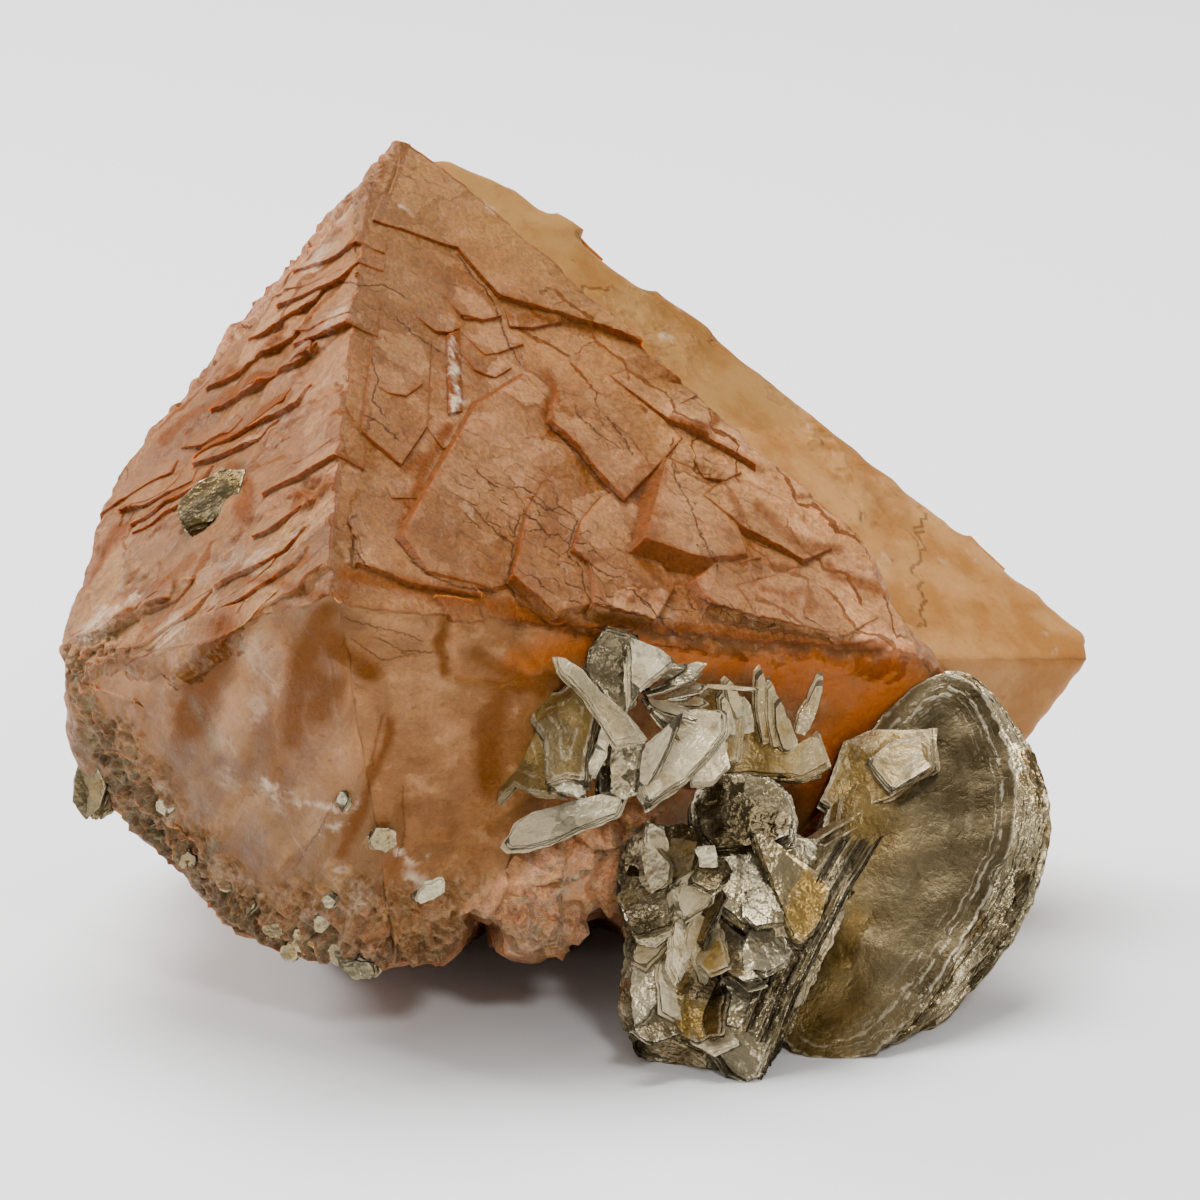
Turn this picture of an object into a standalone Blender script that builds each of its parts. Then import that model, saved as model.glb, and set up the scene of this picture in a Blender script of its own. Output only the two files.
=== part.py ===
# Two scheelite crystals in parallel growth, with books and rosettes of muscovite on their lower front.
# Everything is drawn in millimetres in a front frame (u right, v up, w towards the front) that leans back
# by LEAN from the upright one, then turned upright and scaled to metres.
import math
import random

import bpy
import bmesh
from mathutils import Euler, Vector

MM = 0.001
LEAN = 15.0                     # degrees the front frame leans back
LIFT = 26.5                     # height of the front frame's zero above the resting plane
GAP = 0.3                       # parting between scheelite and muscovite
AXIS_RATIO = 1.03               # height to girdle radius of the dipyramid
GIRDLE = 45.2                   # girdle radius of the front faces
MAIN_TURN = (-24.5, -5.4, -4.2)  # degrees, the upright crystal axes turned about X, Y and Z
MAIN_CENTRE = (-14.6, -7.9, 0.0)
STEP = 1.3                      # drop in the second crystal's rear face
SECOND_TURN = 5.5               # degrees between the two crystals about their front face
SECOND_CENTRE = (-4.6, -9.9, -12.5)

random.seed(77)

for old in list(bpy.data.objects):
    bpy.data.objects.remove(old)

lean = math.radians(LEAN)
axisU = Vector((1.0, 0.0, 0.0))
axisV = Vector((0.0, math.sin(lean), math.cos(lean)))
axisW = Vector((0.0, -math.cos(lean), math.sin(lean)))


def spot(u, v, w):
    """A point of the front frame, in upright millimetres."""
    return axisU * u + axisV * v + axisW * w + Vector((0.0, 0.0, LIFT))


def heading(u, v, w):
    return (axisU * u + axisV * v + axisW * w).normalized()


def compass(azimuth, elevation):
    az = math.radians(azimuth)
    el = math.radians(elevation)
    return Vector((math.cos(az) * math.cos(el), math.sin(az) * math.cos(el), math.sin(el)))


# ---------------------------------------------------------------- crystal planes
turn = Euler([math.radians(a) for a in MAIN_TURN], "XYZ").to_matrix()
mainAxes = [turn.col[0].copy(), turn.col[1].copy(), turn.col[2].copy()]
mainCentre = spot(*MAIN_CENTRE)
secondCentre = spot(*SECOND_CENTRE)


def facePlane(axes, centre, signs, reach, rise=1.0):
    """Plane |x| + |y| + |z| / (rise * AXIS_RATIO) = reach in one octant, as unit normal and offset."""
    normal = axes[0] * signs[0] + axes[1] * signs[1] + axes[2] * (signs[2] / (rise * AXIS_RATIO))
    size = normal.length
    normal = normal / size
    return normal, reach / size + normal.dot(centre)


def breakPlane(azimuth, elevation, distance, centre=None):
    normal = compass(azimuth, elevation)
    return normal, distance + normal.dot(centre or mainCentre)


frontUpper = facePlane(mainAxes, mainCentre, (1, -1, 1), GIRDLE)
leftUpper = facePlane(mainAxes, mainCentre, (-1, -1, 1), 44.5)
frontLower = facePlane(mainAxes, mainCentre, (1, -1, -1), GIRDLE)
leftLower = facePlane(mainAxes, mainCentre, (-1, -1, -1), 43.0)
rearUpper = facePlane(mainAxes, mainCentre, (1, 1, 1), 43.5)
rearLeftUpper = facePlane(mainAxes, mainCentre, (-1, 1, 1), 41.0)
rearLower = facePlane(mainAxes, mainCentre, (1, 1, -1), 38.0)
rearLeftLower = facePlane(mainAxes, mainCentre, (-1, 1, -1), 36.0)
shoulder = facePlane(mainAxes, mainCentre, (1, 0, 1), 39.5, 2.0)
tipNormal = (mainAxes[0] * -0.68 + mainAxes[1] * -0.31 + mainAxes[2] * 0.66).normalized()
tip = (tipNormal, 27.4 + tipNormal.dot(mainCentre))
crown = breakPlane(81, 72, 42.7)
ground = (Vector((0.0, 0.0, -1.0)), 0.0)

mainPlanes = [frontUpper, leftUpper, frontLower, leftLower, rearUpper, rearLeftUpper, rearLower]
mainPlanes += [rearLeftLower, shoulder, tip, crown]
mainPlanes += [breakPlane(155, 13, 22.8), breakPlane(171, 9, 23.8), breakPlane(175, -7, 21.9)]
mainPlanes += [breakPlane(-176, -47, 17.6), breakPlane(-153, -67, 18.2)]
mainPlanes += [breakPlane(-91, -80, 16.4), breakPlane(95, -8, 31.0), ground]



def turned(vector, axis, angle):
    return vector * math.cos(angle) + axis.cross(vector) * math.sin(angle) + axis * (
        axis.dot(vector) * (1.0 - math.cos(angle)))


secondAxes = [turned(axis, frontUpper[0], math.radians(SECOND_TURN)) for axis in mainAxes]
secondUpper = facePlane(secondAxes, secondCentre, (1, -1, 1), GIRDLE)
secondRear = facePlane(secondAxes, secondCentre, (1, 1, 1), 44.6)
secondLower = facePlane(secondAxes, secondCentre, (1, -1, -1), GIRDLE)
secondRearLower = facePlane(secondAxes, secondCentre, (1, 1, -1), 40.0)
secondShoulder = facePlane(secondAxes, secondCentre, (1, 0, 1), 44.6, 2.0)
secondRearLeft = facePlane(secondAxes, secondCentre, (-1, 1, 1), 41.5)
secondPlanes = [secondUpper, secondRear, secondLower, secondRearLower, secondShoulder, secondRearLeft]
secondPlanes += [breakPlane(60, 54, 43.2), breakPlane(-90, 0, 2.0), breakPlane(88, -14, 38.0), ground]
# on the left the second crystal stays inside the first
for plane in (leftUpper, tip, breakPlane(155, 13, 22.8), breakPlane(175, -7, 21.9), breakPlane(-176, -47, 17.6)):
    secondPlanes.append((plane[0], plane[1] - 0.6))


# ---------------------------------------------------------------- mesh helpers
def fresh(name, bm):
    mesh = bpy.data.meshes.new(name)
    bmesh.ops.recalc_face_normals(bm, faces=bm.faces)
    bm.to_mesh(mesh)
    bm.free()
    obj = bpy.data.objects.new(name, mesh)
    bpy.context.scene.collection.objects.link(obj)
    return obj


def chunk(name, planes, grow=0.0):
    """Convex body bounded by the planes, each pushed out by grow."""
    bm = bmesh.new()
    bmesh.ops.create_cube(bm, size=160.0)
    for normal, offset in planes:
        geom = list(bm.verts) + list(bm.edges) + list(bm.faces)
        cut = bmesh.ops.bisect_plane(bm, geom=geom, dist=1e-4, plane_co=normal * (offset + grow),
                                     plane_no=normal, clear_outer=True)
        rim = [e for e in cut["geom_cut"] if isinstance(e, bmesh.types.BMEdge) and e.is_boundary]
        if rim:
            bmesh.ops.edgeloop_fill(bm, edges=rim)
    return fresh(name, bm)


def clip(obj, planes, grow):
    """Trims obj to the inside of the planes, each pushed out by grow."""
    bm = bmesh.new()
    bm.from_mesh(obj.data)
    for normal, offset in planes:
        geom = list(bm.verts) + list(bm.edges) + list(bm.faces)
        cut = bmesh.ops.bisect_plane(bm, geom=geom, dist=1e-4, plane_co=normal * (offset + grow),
                                     plane_no=normal, clear_outer=True)
        rim = [e for e in cut["geom_cut"] if isinstance(e, bmesh.types.BMEdge) and e.is_boundary]
        if rim:
            bmesh.ops.edgeloop_fill(bm, edges=rim)
    bmesh.ops.recalc_face_normals(bm, faces=bm.faces)
    bm.to_mesh(obj.data)
    bm.free()


def prism(name, top, bottom):
    bm = bmesh.new()
    upper = [bm.verts.new(p) for p in top]
    under = [bm.verts.new(p) for p in bottom]
    bm.faces.new(upper)
    bm.faces.new(list(reversed(under)))
    count = len(upper)
    for i in range(count):
        j = (i + 1) % count
        bm.faces.new((upper[j], upper[i], under[i], under[j]))
    return fresh(name, bm)


def combine(target, tool, how):
    boolean = target.modifiers.new("bool", "BOOLEAN")
    boolean.operation = how
    boolean.solver = "EXACT"
    boolean.object = tool
    bpy.context.view_layer.objects.active = target
    bpy.ops.object.modifier_apply(modifier=boolean.name)
    bpy.data.objects.remove(tool)


def tidy(obj, degrees=0.3, merge=0.0005):
    """Joins flat neighbours into one face, then cuts all into triangles."""
    bm = bmesh.new()
    bm.from_mesh(obj.data)
    bmesh.ops.remove_doubles(bm, verts=bm.verts, dist=merge)
    bmesh.ops.dissolve_limit(bm, angle_limit=math.radians(degrees), verts=bm.verts, edges=bm.edges)
    bmesh.ops.triangulate(bm, faces=bm.faces)
    bmesh.ops.recalc_face_normals(bm, faces=bm.faces)
    bm.to_mesh(obj.data)
    bm.free()


def plateOn(plane, outline, lifts, flare, depth=1.6):
    """A growth plate: corners on the plane, top corners raised by lifts, sides flaring down into the crystal."""
    normal = plane[0]
    middle = sum(outline, Vector()) / len(outline)
    top = [p + normal * h for p, h in zip(outline, lifts)]
    bottom = [middle + (p - middle) * (1.0 + flare) - normal * depth for p in outline]
    return prism("plate", top, bottom)


def dropped(plane, u, v):
    """The point of the plane that lies behind (u, v) of the front frame."""
    start = spot(u, v, 0.0)
    return start + axisW * ((plane[1] - plane[0].dot(start)) / plane[0].dot(axisW))


def drawnPlate(crystal, plane, corners, lift, downhill, flare=0.06, room=0.3):
    """Plate with an outline drawn from the front. Its edge on the downhill side (u, v) stands up by lift.
    It reaches past the neighbouring faces by no more than room."""
    points = [dropped(plane, u, v) for u, v in corners]
    way = heading(downhill[0], downhill[1], 0.0)
    way = (way - plane[0] * way.dot(plane[0])).normalized()
    reach = [p.dot(way) for p in points]
    low = min(reach)
    span = max(reach) - low
    lifts = [lift * (0.12 + 0.88 * (r - low) / span) for r in reach]
    piece = plateOn(plane, points, lifts, flare)
    clip(piece, [other for other in mainPlanes if other is not plane], room)
    combine(crystal, piece, "UNION")


def within(point, planes, own, margin):
    return all(plane is own or plane[0].dot(point) < plane[1] - margin for plane in planes)


def content(obj):
    bm = bmesh.new()
    bm.from_mesh(obj.data)
    inside = bm.calc_volume()
    bm.free()
    return inside


def seededPlates(crystal, plane, planes, axes, centre, count, length, width, lean2, lift, margin=1.5, avoid=()):
    """Imbricated growth plates scattered over one face, long side at lean2 degrees from the girdle."""
    normal = plane[0]
    up = axes[2] - normal * axes[2].dot(normal)
    up.normalize()
    side = up.cross(normal)
    foot = centre + normal * (plane[1] - normal.dot(centre))
    made = 0
    tries = 0
    while made < count and tries < count * 60:
        tries += 1
        point = foot + side * random.uniform(-42, 42) + up * random.uniform(-42, 42)
        if point.z < 1.5 or not within(point, planes, plane, margin):
            continue
        if any((point - spotAvoid).length < radius for spotAvoid, radius in avoid):
            continue
        tilt = math.radians(lean2 + random.uniform(-9, 9))
        along = side * math.cos(tilt) + up * math.sin(tilt)
        across = normal.cross(along)
        longSide = random.uniform(0.7, 1.3) * length
        wide = random.uniform(0.7, 1.3) * width
        high = random.uniform(0.6, 1.4) * lift
        outline = []
        lifts = []
        for x, y in ((-0.5, -0.30), (-0.15, -0.5), (0.42, -0.46), (0.5, 0.1), (0.2, 0.5), (-0.4, 0.42)):
            x += random.uniform(-0.08, 0.08)
            y += random.uniform(-0.08, 0.08)
            outline.append(point + along * (x * longSide) + across * (y * wide))
            lifts.append(high * (0.5 - y) - 0.04 + random.uniform(-0.02, 0.02))
        piece = plateOn(plane, outline, lifts, 0.05)
        clip(piece, [other for other in planes if other is not plane], 0.12)
        before = content(crystal)
        keep = crystal.data.copy()
        combine(crystal, piece, "UNION")
        if content(crystal) < before:
            crystal.data = keep         # this plate met an edge badly and is left out
            continue
        made += 1


def surface(name, colour, roughness=0.5):
    material = bpy.data.materials.new(name)
    material.use_nodes = True
    shader = material.node_tree.nodes["Principled BSDF"]
    shader.inputs["Base Color"].default_value = (*colour, 1.0)
    shader.inputs["Roughness"].default_value = roughness
    material.diffuse_color = (*colour, 1.0)
    return material


scheeliteLook = surface("scheelite", (0.52, 0.26, 0.12), 0.4)
muscoviteLook = surface("muscovite", (0.36, 0.33, 0.24), 0.35)


def finish(obj, name, look):
    obj.name = name
    obj.data.name = name
    tidy(obj)
    for vertex in obj.data.vertices:
        vertex.co *= MM
    obj.data.materials.clear()
    obj.data.materials.append(look)


# ---------------------------------------------------------------- scheelite
crystal = chunk("scheelite_crystal", mainPlanes)
second = chunk("second", secondPlanes)
# the second crystal's rear face steps down towards the tip
combine(second, chunk("step", [(secondRear[0] * -1.0, STEP - secondRear[1]), (compass(17, -4), 8.6)]), "DIFFERENCE")
combine(crystal, second, "UNION")

# Smooth upper slope of the front face, ending in a long step
drawnPlate(crystal, frontUpper, [(-14.6, 34.6), (-16.6, 28.0), (-10.8, 26.2), (-7.7, 22.4), (0.0, 20.3), (3.0, 19.0),
                                 (0.8, 22.4), (-6.8, 29.0)], 0.55, (0.3, -1.0), 0.03)
# Large plate in the middle with a steep left side
drawnPlate(crystal, frontUpper, [(-9.3, 13.9), (-14.4, 4.2), (-12.5, 1.6), (-8.0, 0.5), (-5.4, 1.4), (-5.0, 5.0),
                                 (-1.0, 8.6), (-2.9, 13.2), (-5.9, 16.2)], 0.8, (-1.0, 0.25), 0.2)
# Cracked plates beside it
drawnPlate(crystal, frontUpper, [(-5.6, 6.0), (-6.3, 2.8), (-6.7, 1.1), (-3.6, -1.4), (-0.6, -0.6), (-0.9, 2.9),
                                 (0.4, 6.2), (-1.8, 9.0), (-4.4, 8.2)], 1.0, (-0.8, -0.6), 0.1)
drawnPlate(crystal, frontUpper, [(-1.7, 5.3), (-2.4, 3.1), (-1.2, 2.2), (-0.9, -1.2), (3.6, -2.0), (5.2, 0.7),
                                 (3.2, 4.4), (2.2, 8.1), (0.0, 7.4)], 1.05, (-0.7, -0.7), 0.1)
# Small upright flake at the head of the large plate's scarp
drawnPlate(crystal, frontUpper, [(-11.4, 19.3), (-11.1, 13.4), (-10.0, 13.7), (-10.4, 19.8)], 0.5, (-1.0, 0.0), 0.05)
# Plate to the right of the dark re-entrant crack
drawnPlate(crystal, frontUpper, [(-3.5, 15.3), (-4.0, 12.8), (-1.8, 10.6), (1.5, 6.9), (4.1, 9.7), (6.0, 11.9),
                                 (3.0, 14.5), (-0.7, 16.0)], 0.75, (-0.8, -0.5), 0.18)
# Raised block with bevelled sides
drawnPlate(crystal, frontUpper, [(4.7, 10.2), (2.5, 3.4), (7.3, 2.2), (10.4, 2.9), (9.4, 7.0), (6.7, 9.6)],
           1.5, (-0.8, -0.7), 0.55)
drawnPlate(crystal, frontUpper, [(6.5, 0.9), (7.7, -1.2), (11.8, -1.9), (14.4, 0.0), (12.0, 3.0), (9.0, 3.0)],
           0.9, (-0.7, -0.8), 0.35)
drawnPlate(crystal, frontUpper, [(9.6, 0.6), (11.4, -2.0), (17.6, -2.9), (20.4, -1.5), (15.4, 2.5)],
           0.7, (-0.6, -0.8), 0.15)
drawnPlate(crystal, frontUpper, [(4.8, 13.0), (7.2, 12.0), (11.4, 9.6), (10.5, 12.0), (6.0, 15.4), (2.2, 17.2),
                                 (0.6, 16.6)], 0.6, (0.0, -1.0), 0.12)
drawnPlate(crystal, frontUpper, [(7.4, 7.4), (10.3, 4.8), (14.8, 2.6), (17.1, 3.6), (13.4, 7.2), (9.7, 9.2)],
           0.6, (-0.5, -0.9), 0.12)
drawnPlate(crystal, frontUpper, [(-17.3, 2.5), (-13.6, 0.9), (-8.5, 0.1), (-11.3, 2.8), (-14.2, 6.9), (-17.0, 7.7)],
           0.45, (-0.2, -1.0), 0.05)
drawnPlate(crystal, frontUpper, [(-16.6, 20.0), (-17.2, 12.0), (-14.4, 9.4), (-12.6, 12.4), (-12.4, 19.0)],
           0.3, (0.2, -1.0), 0.05)

# Block and steps on the lower front face
drawnPlate(crystal, frontLower, [(-10.2, -0.9), (-8.1, -1.4), (-3.8, -5.3), (-7.1, -5.8), (-10.8, -5.2),
                                 (-11.0, -2.6)], 1.1, (-1.0, -0.4), 0.3)
drawnPlate(crystal, frontLower, [(-10.9, -13.5), (-8.6, -14.7), (-8.2, -12.4), (-10.2, -11.4)], 0.6, (0.2, -1.0), 0.05)

drawnPlate(crystal, frontLower, [(-20.6, -6.6), (-18.8, -5.0), (-15.2, -5.6), (-14.8, -7.6), (-15.8, -12.0), (-18.4, -15.6),
                                 (-20.0, -14.6)], 0.7, (-1.0, -0.2), 0.12)
drawnPlate(crystal, leftLower, [(-36.6, -1.6), (-28.0, 1.4), (-23.0, 0.9), (-27.0, -3.2), (-33.0, -7.0), (-37.4, -6.0)],
           0.8, (0.6, -0.8), 0.12)
drawnPlate(crystal, leftLower, [(-30.4, -5.6), (-26.4, -3.4), (-24.0, -8.0), (-25.2, -14.0), (-28.6, -14.6), (-31.4, -9.6)],
           0.6, (0.5, -0.9), 0.12)

# Broken, stepped lumps low on the front
lumps = []
for u, v, size, spin in ((-4.6, -19.0, 2.6, 20), (-1.4, -18.4, 2.4, 55), (-5.6, -22.4, 3.0, -15), (-3.0, -23.4, 2.6, 40),
                         (0.0, -16.4, 2.4, 10), (3.0, -14.2, 2.2, 30), (1.2, -20.6, 2.6, 70)):
    middle = dropped(frontLower, u, v) - frontLower[0] * (size * 0.45)
    cuts = []
    for k in range(12):
        away = compass(spin + 137.5 * k, math.degrees(math.asin(1.0 - (2 * k + 1) / 12.0)))
        cuts.append((away, size * random.uniform(0.7, 1.0) + away.dot(middle)))
    lumps.append(cuts)
    combine(crystal, chunk("lump", cuts), "UNION")

seededPlates(crystal, frontUpper, mainPlanes, mainAxes, mainCentre, 18, 5.0, 3.2, 20, 0.34)
seededPlates(crystal, leftUpper, mainPlanes, mainAxes, mainCentre, 34, 9.0, 3.0, 14, 0.5, 1.0,
             [(dropped(leftUpper, -27.6, 6.9), 6.6)])
seededPlates(crystal, leftLower, mainPlanes, mainAxes, mainCentre, 11, 6.5, 3.6, 40, 0.4)
seededPlates(crystal, rearLeftUpper, mainPlanes, mainAxes, mainCentre, 14, 8.0, 3.6, 12, 0.5)
seededPlates(crystal, rearLeftLower, mainPlanes, mainAxes, mainCentre, 5, 7.0, 3.6, 30, 0.45)
seededPlates(crystal, secondUpper, secondPlanes, secondAxes, secondCentre, 12, 10.0, 2.6, 4, 0.3, 1.2)
seededPlates(crystal, secondRear, secondPlanes, secondAxes, secondCentre, 18, 9.0, 4.0, 10, 0.5, 1.5)
seededPlates(crystal, secondShoulder, secondPlanes, secondAxes, secondCentre, 2, 4.0, 2.0, 30, 0.3)
seededPlates(crystal, secondRearLower, secondPlanes, secondAxes, secondCentre, 6, 6.0, 3.4, 30, 0.4, 1.5,
             [(spot(24.0, -20.5, -23.0), 14.0)])


def sightCut(target, outline, front, back):
    """Notch right through along the line of sight, between two depths."""
    top = [spot(u, v, front) for u, v in outline]
    bottom = [spot(u, v, back) for u, v in outline]
    combine(target, prism("notch", top, bottom), "DIFFERENCE")


# Chipped lower edge
sightCut(crystal, [(-13.6, -31.0), (-13.0, -27.6), (-11.8, -26.8), (-9.8, -24.4), (-9.6, -22.6), (-8.0, -23.6),
                   (-7.4, -25.4), (-5.6, -26.4), (-4.4, -31.0)], 30.0, -18.0)
sightCut(crystal, [(-3.6, -31.0), (-2.6, -25.0), (0.2, -22.6), (2.6, -25.2), (4.6, -26.0), (8.0, -31.0)], 30.0, -18.0)
sightCut(crystal, [(-17.0, -31.0), (-15.6, -28.4), (-13.0, -28.6), (-12.0, -31.0)], 30.0, -8.0)


# ---------------------------------------------------------------- muscovite
def sheet(outline, at, normal, thick):
    """Flat sheet whose front outline is drawn in (u, v) on the plane through at, thickness going backwards."""
    face = heading(*normal)
    offset = face.dot(spot(*at))
    top = [dropped((face, offset), u, v) for u, v in outline]
    bottom = [p - face * thick for p in top]
    return prism("sheet", top, bottom)


def leaf(at, normal, radius, thick, stretch=1.0, spin=0.0, sides=6):
    """Six-sided leaf, stretched along spin degrees in its own plane."""
    face = heading(*normal)
    across = face.cross(axisV)
    if across.length < 0.2:
        across = face.cross(axisU)
    across.normalize()
    upward = across.cross(face) * -1.0
    turnBy = math.radians(spin)
    longWay = across * math.cos(turnBy) + upward * math.sin(turnBy)
    shortWay = face.cross(longWay)
    centre = at if isinstance(at, Vector) else spot(*at)
    top = []
    for k in range(sides):
        angle = 2.0 * math.pi * (k + random.uniform(-0.16, 0.16)) / sides
        size = radius * random.uniform(0.88, 1.08)
        top.append(centre + longWay * (size * stretch * math.cos(angle)) + shortWay * (size * math.sin(angle)))
    bottom = [p - face * thick for p in top]
    return prism("leaf", top, bottom)


def panel(corners, thick):
    """Sheet through corners given in (u, v, w), seen mostly from its edge."""
    points = [spot(*corner) for corner in corners]
    face = (points[2] - points[0]).cross(points[4] - points[0]).normalized()
    flat = [p - face * (p - points[0]).dot(face) for p in points]
    return prism("panel", [p + face * thick for p in flat], flat)


def mound(plane, corners, height):
    """Low body with the drawn outline, standing on a crystal face."""
    points = [dropped(plane, u, v) for u, v in corners]
    return plateOn(plane, points, [height] * len(points), 0.0)


def cluster(name, pieces, keepOff):
    """Fuses sheets into one solid, cut back from the scheelite by the gap and flat at the resting plane."""
    body = pieces[0]
    for piece in pieces[1:]:
        combine(body, piece, "UNION")
    for planes in keepOff:
        combine(body, chunk("scheelite_room", planes, GAP), "DIFFERENCE")
    under = chunk("under", [(Vector((0.0, 0.0, 1.0)), 0.0)])
    combine(body, under, "DIFFERENCE")
    body.name = name
    return body


room = [mainPlanes, secondPlanes] + lumps

random.seed(2)
upper = [
    mound(frontLower, [(-6.1, -8.6), (-2.9, -6.5), (0.0, -5.7), (5.7, -6.5), (9.3, -7.2), (14.5, -8.4), (16.9, -8.2), (16.4, -11.8),
                       (10.1, -12.6), (6.5, -14.4), (0.0, -14.4), (-5.0, -14.4), (-6.8, -12.2)], 2.2),
    sheet([(0.4, -2.2), (5.4, -4.4), (2.9, -8.6), (-1.1, -4.7)], (1.8, -5.2, 28.6), (0.2, -0.2, 0.95), 1.6),
    sheet([(-3.0, -4.4), (-1.6, -4.6), (3.2, -9.8), (0.8, -9.2)], (0.2, -7.0, 29.6), (-0.5, 0.1, 0.85), 0.9),
    leaf((-2.6, -9.7, 30.6), (-0.25, 0.2, 0.95), 3.0, 0.8, 1.05, 60, 8),
    leaf((-5.6, -11.4, 29.6), (-0.5, 0.2, 0.85), 2.8, 0.7, 1.15, 90, 7),
    sheet([(3.0, -11.6), (6.6, -7.9), (8.7, -8.2), (8.7, -10.4), (5.4, -14.2), (3.4, -14.3)], (5.8, -11.2, 28.2),
          (-0.1, 0.2, 0.97), 1.0),
    leaf((7.2, -9.2, 27.2), (-0.2, 0.5, 0.85), 2.6, 0.6, 1.2, 40),
    sheet([(-6.6, -15.6), (-2.0, -14.2), (1.0, -14.4), (-2.2, -16.6), (-5.4, -17.4)], (-2.8, -15.8, 26.6),
          (-0.1, 0.5, 0.85), 1.3),
    leaf((0.9, -12.0, 26.4), (0.96, 0.1, 0.25), 2.6, 0.7, 0.9, 90),
    leaf((2.3, -12.2, 25.6), (0.9, -0.1, 0.4), 2.4, 0.6, 0.9, 90),
]
for k in range(7):
    fan = math.radians(-20 + 16 * k)
    upper.append(leaf((5.7 + 0.3 * k, -6.9 - 0.25 * k, 25.4 - 0.4 * k), (-math.sin(fan), math.cos(fan), 0.3),
                      2.4, 0.3, 0.9, 0))
for k in range(6):
    u = 9.0 + 1.25 * k
    upper.append(leaf((u, -9.6 - 0.2 * (k % 3), 21.4 - 0.85 * k), (0.7 - 0.25 * (k % 3), 0.25, 0.6), 2.5, 0.45,
                      1.15, 80 - 12 * (k % 4)))
upper.append(leaf((13.4, -10.2, 17.6), (0.2, 0.3, 0.9), 3.6, 2.4, 1.2, 0, 8))
upper.append(sheet([(12.6, -5.3), (13.4, -5.0), (15.0, -9.4), (13.6, -9.9)], (13.8, -7.6, 17.8), (-0.6, 0.2, 0.75), 0.6))
upper.append(sheet([(16.9, -5.6), (17.5, -5.4), (17.2, -8.4), (16.3, -8.8)], (16.8, -7.0, 14.9), (-0.6, 0.2, 0.75), 0.6))
upperRosette = cluster("muscovite_upper_rosette", upper, room)

random.seed(8)
lowerPieces = []
body = [(3.0, -17.6), (7.4, -15.4), (13.4, -16.8), (15.0, -22.0), (12.4, -30.6), (7.8, -32.4), (3.6, -30.8)]
for k in range(5):
    grown = [(u + random.uniform(-0.7, 0.7), v + random.uniform(-0.7, 0.7)) for u, v in body]
    lowerPieces.append(sheet(grown, (8.6, -23.6, 22.2 - 2.0 * k), (-0.1 + 0.05 * (k % 2), 0.35, 0.93), 2.1))
for k in range(4):
    slip = 0.72 * k
    lowerPieces.append(panel([(20.4 - slip, -15.6, 24.6 - k), (21.4 - slip, -16.4, 15.0), (18.2 - slip, -22.0, 9.0),
                              (14.2 - slip, -29.0, 10.0), (11.2 - slip, -34.0, 17.0),
                              (11.0 - slip, -34.6, 26.4 - 0.4 * k), (15.4 - slip, -26.6, 26.6 - 0.5 * k)], 0.76))
lowerPieces += [
    leaf((10.6, -15.2, 23.0), (0.05, 0.35, 0.93), 3.3, 1.5, 1.05, 0, 7),
    leaf((5.0, -18.0, 23.6), (-0.3, 0.3, 0.9), 2.3, 1.2, 1.1, 30, 6),
    leaf((3.9, -20.4, 24.6), (-0.5, 0.2, 0.85), 2.2, 1.2, 1.1, 80, 6),
    sheet([(11.7, -17.0), (16.4, -18.8), (15.0, -22.4), (13.0, -24.6)], (14.0, -20.6, 25.0), (0.25, 0.3, 0.92), 2.0),
    leaf((12.4, -24.8, 25.6), (0.2, 0.3, 0.93), 2.4, 1.4, 1.1, 20, 8),
    leaf((9.4, -21.0, 24.8), (-0.2, 0.4, 0.9), 2.6, 1.4, 1.0, 10, 6),
    leaf((4.6, -24.6, 24.6), (-0.6, 0.1, 0.8), 2.6, 1.2, 1.2, 75, 6),
    leaf((7.6, -25.4, 25.6), (0.4, 0.1, 0.9), 2.4, 1.2, 1.2, 60, 6),
    leaf((4.4, -28.6, 24.4), (-0.4, 0.3, 0.85), 2.4, 1.2, 1.0, 0, 6),
    sheet([(6.6, -26.2), (8.8, -27.6), (9.0, -30.6), (7.0, -31.8), (4.8, -30.6)], (7.0, -29.0, 26.0),
          (-0.1, 0.3, 0.95), 1.6),
    leaf((10.6, -30.4, 26.0), (0.5, 0.1, 0.85), 3.0, 2.0, 1.3, 62, 6),
    leaf((8.2, -17.0, 24.6), (0.1, 0.5, 0.85), 1.8, 1.0, 1.2, 30, 6),
]
lowerRosette = cluster("muscovite_lower_rosette", lowerPieces, room)

# Fan book: sheets growing towards the back, so that their edges step out on the right and below
frontRim = [(21.1, -8.0), (25.0, -4.8), (27.8, -6.2), (29.8, -9.6), (30.6, -14.6), (29.8, -18.6), (27.0, -23.6),
            (23.6, -28.6), (19.6, -33.4), (12.6, -32.6), (13.4, -24.6), (16.4, -18.4), (17.0, -13.2)]
rearRim = [(21.8, -7.6), (25.2, -4.7), (28.8, -6.0), (32.3, -11.2), (33.5, -15.6), (32.9, -19.4), (31.4, -23.6),
           (28.6, -27.0), (24.4, -31.2), (19.2, -34.0), (15.4, -33.0), (13.2, -28.0), (15.0, -18.0)]
random.seed(3)
book = []
SHEETS = 6
for k in range(SHEETS):
    share = k / (SHEETS - 1)
    rim = []
    for (u0, v0), (u1, v1) in zip(frontRim, rearRim):
        wave = random.uniform(-0.25, 0.25)
        rim.append((u0 + (u1 - u0) * share + wave, v0 + (v1 - v0) * share + wave))
    slide = 1.15 * k
    book.append(sheet(rim, (19.5, -8.0, 9.4 - slide), (-0.1, 0.44, 0.89), 1.2))
book.append(sheet([(18.0, -9.8), (20.6, -9.3), (23.9, -9.7), (23.4, -12.2), (19.6, -13.4), (17.6, -12.4)],
                  (20.6, -11.0, 12.6), (-0.2, 0.4, 0.9), 2.6))
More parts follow.
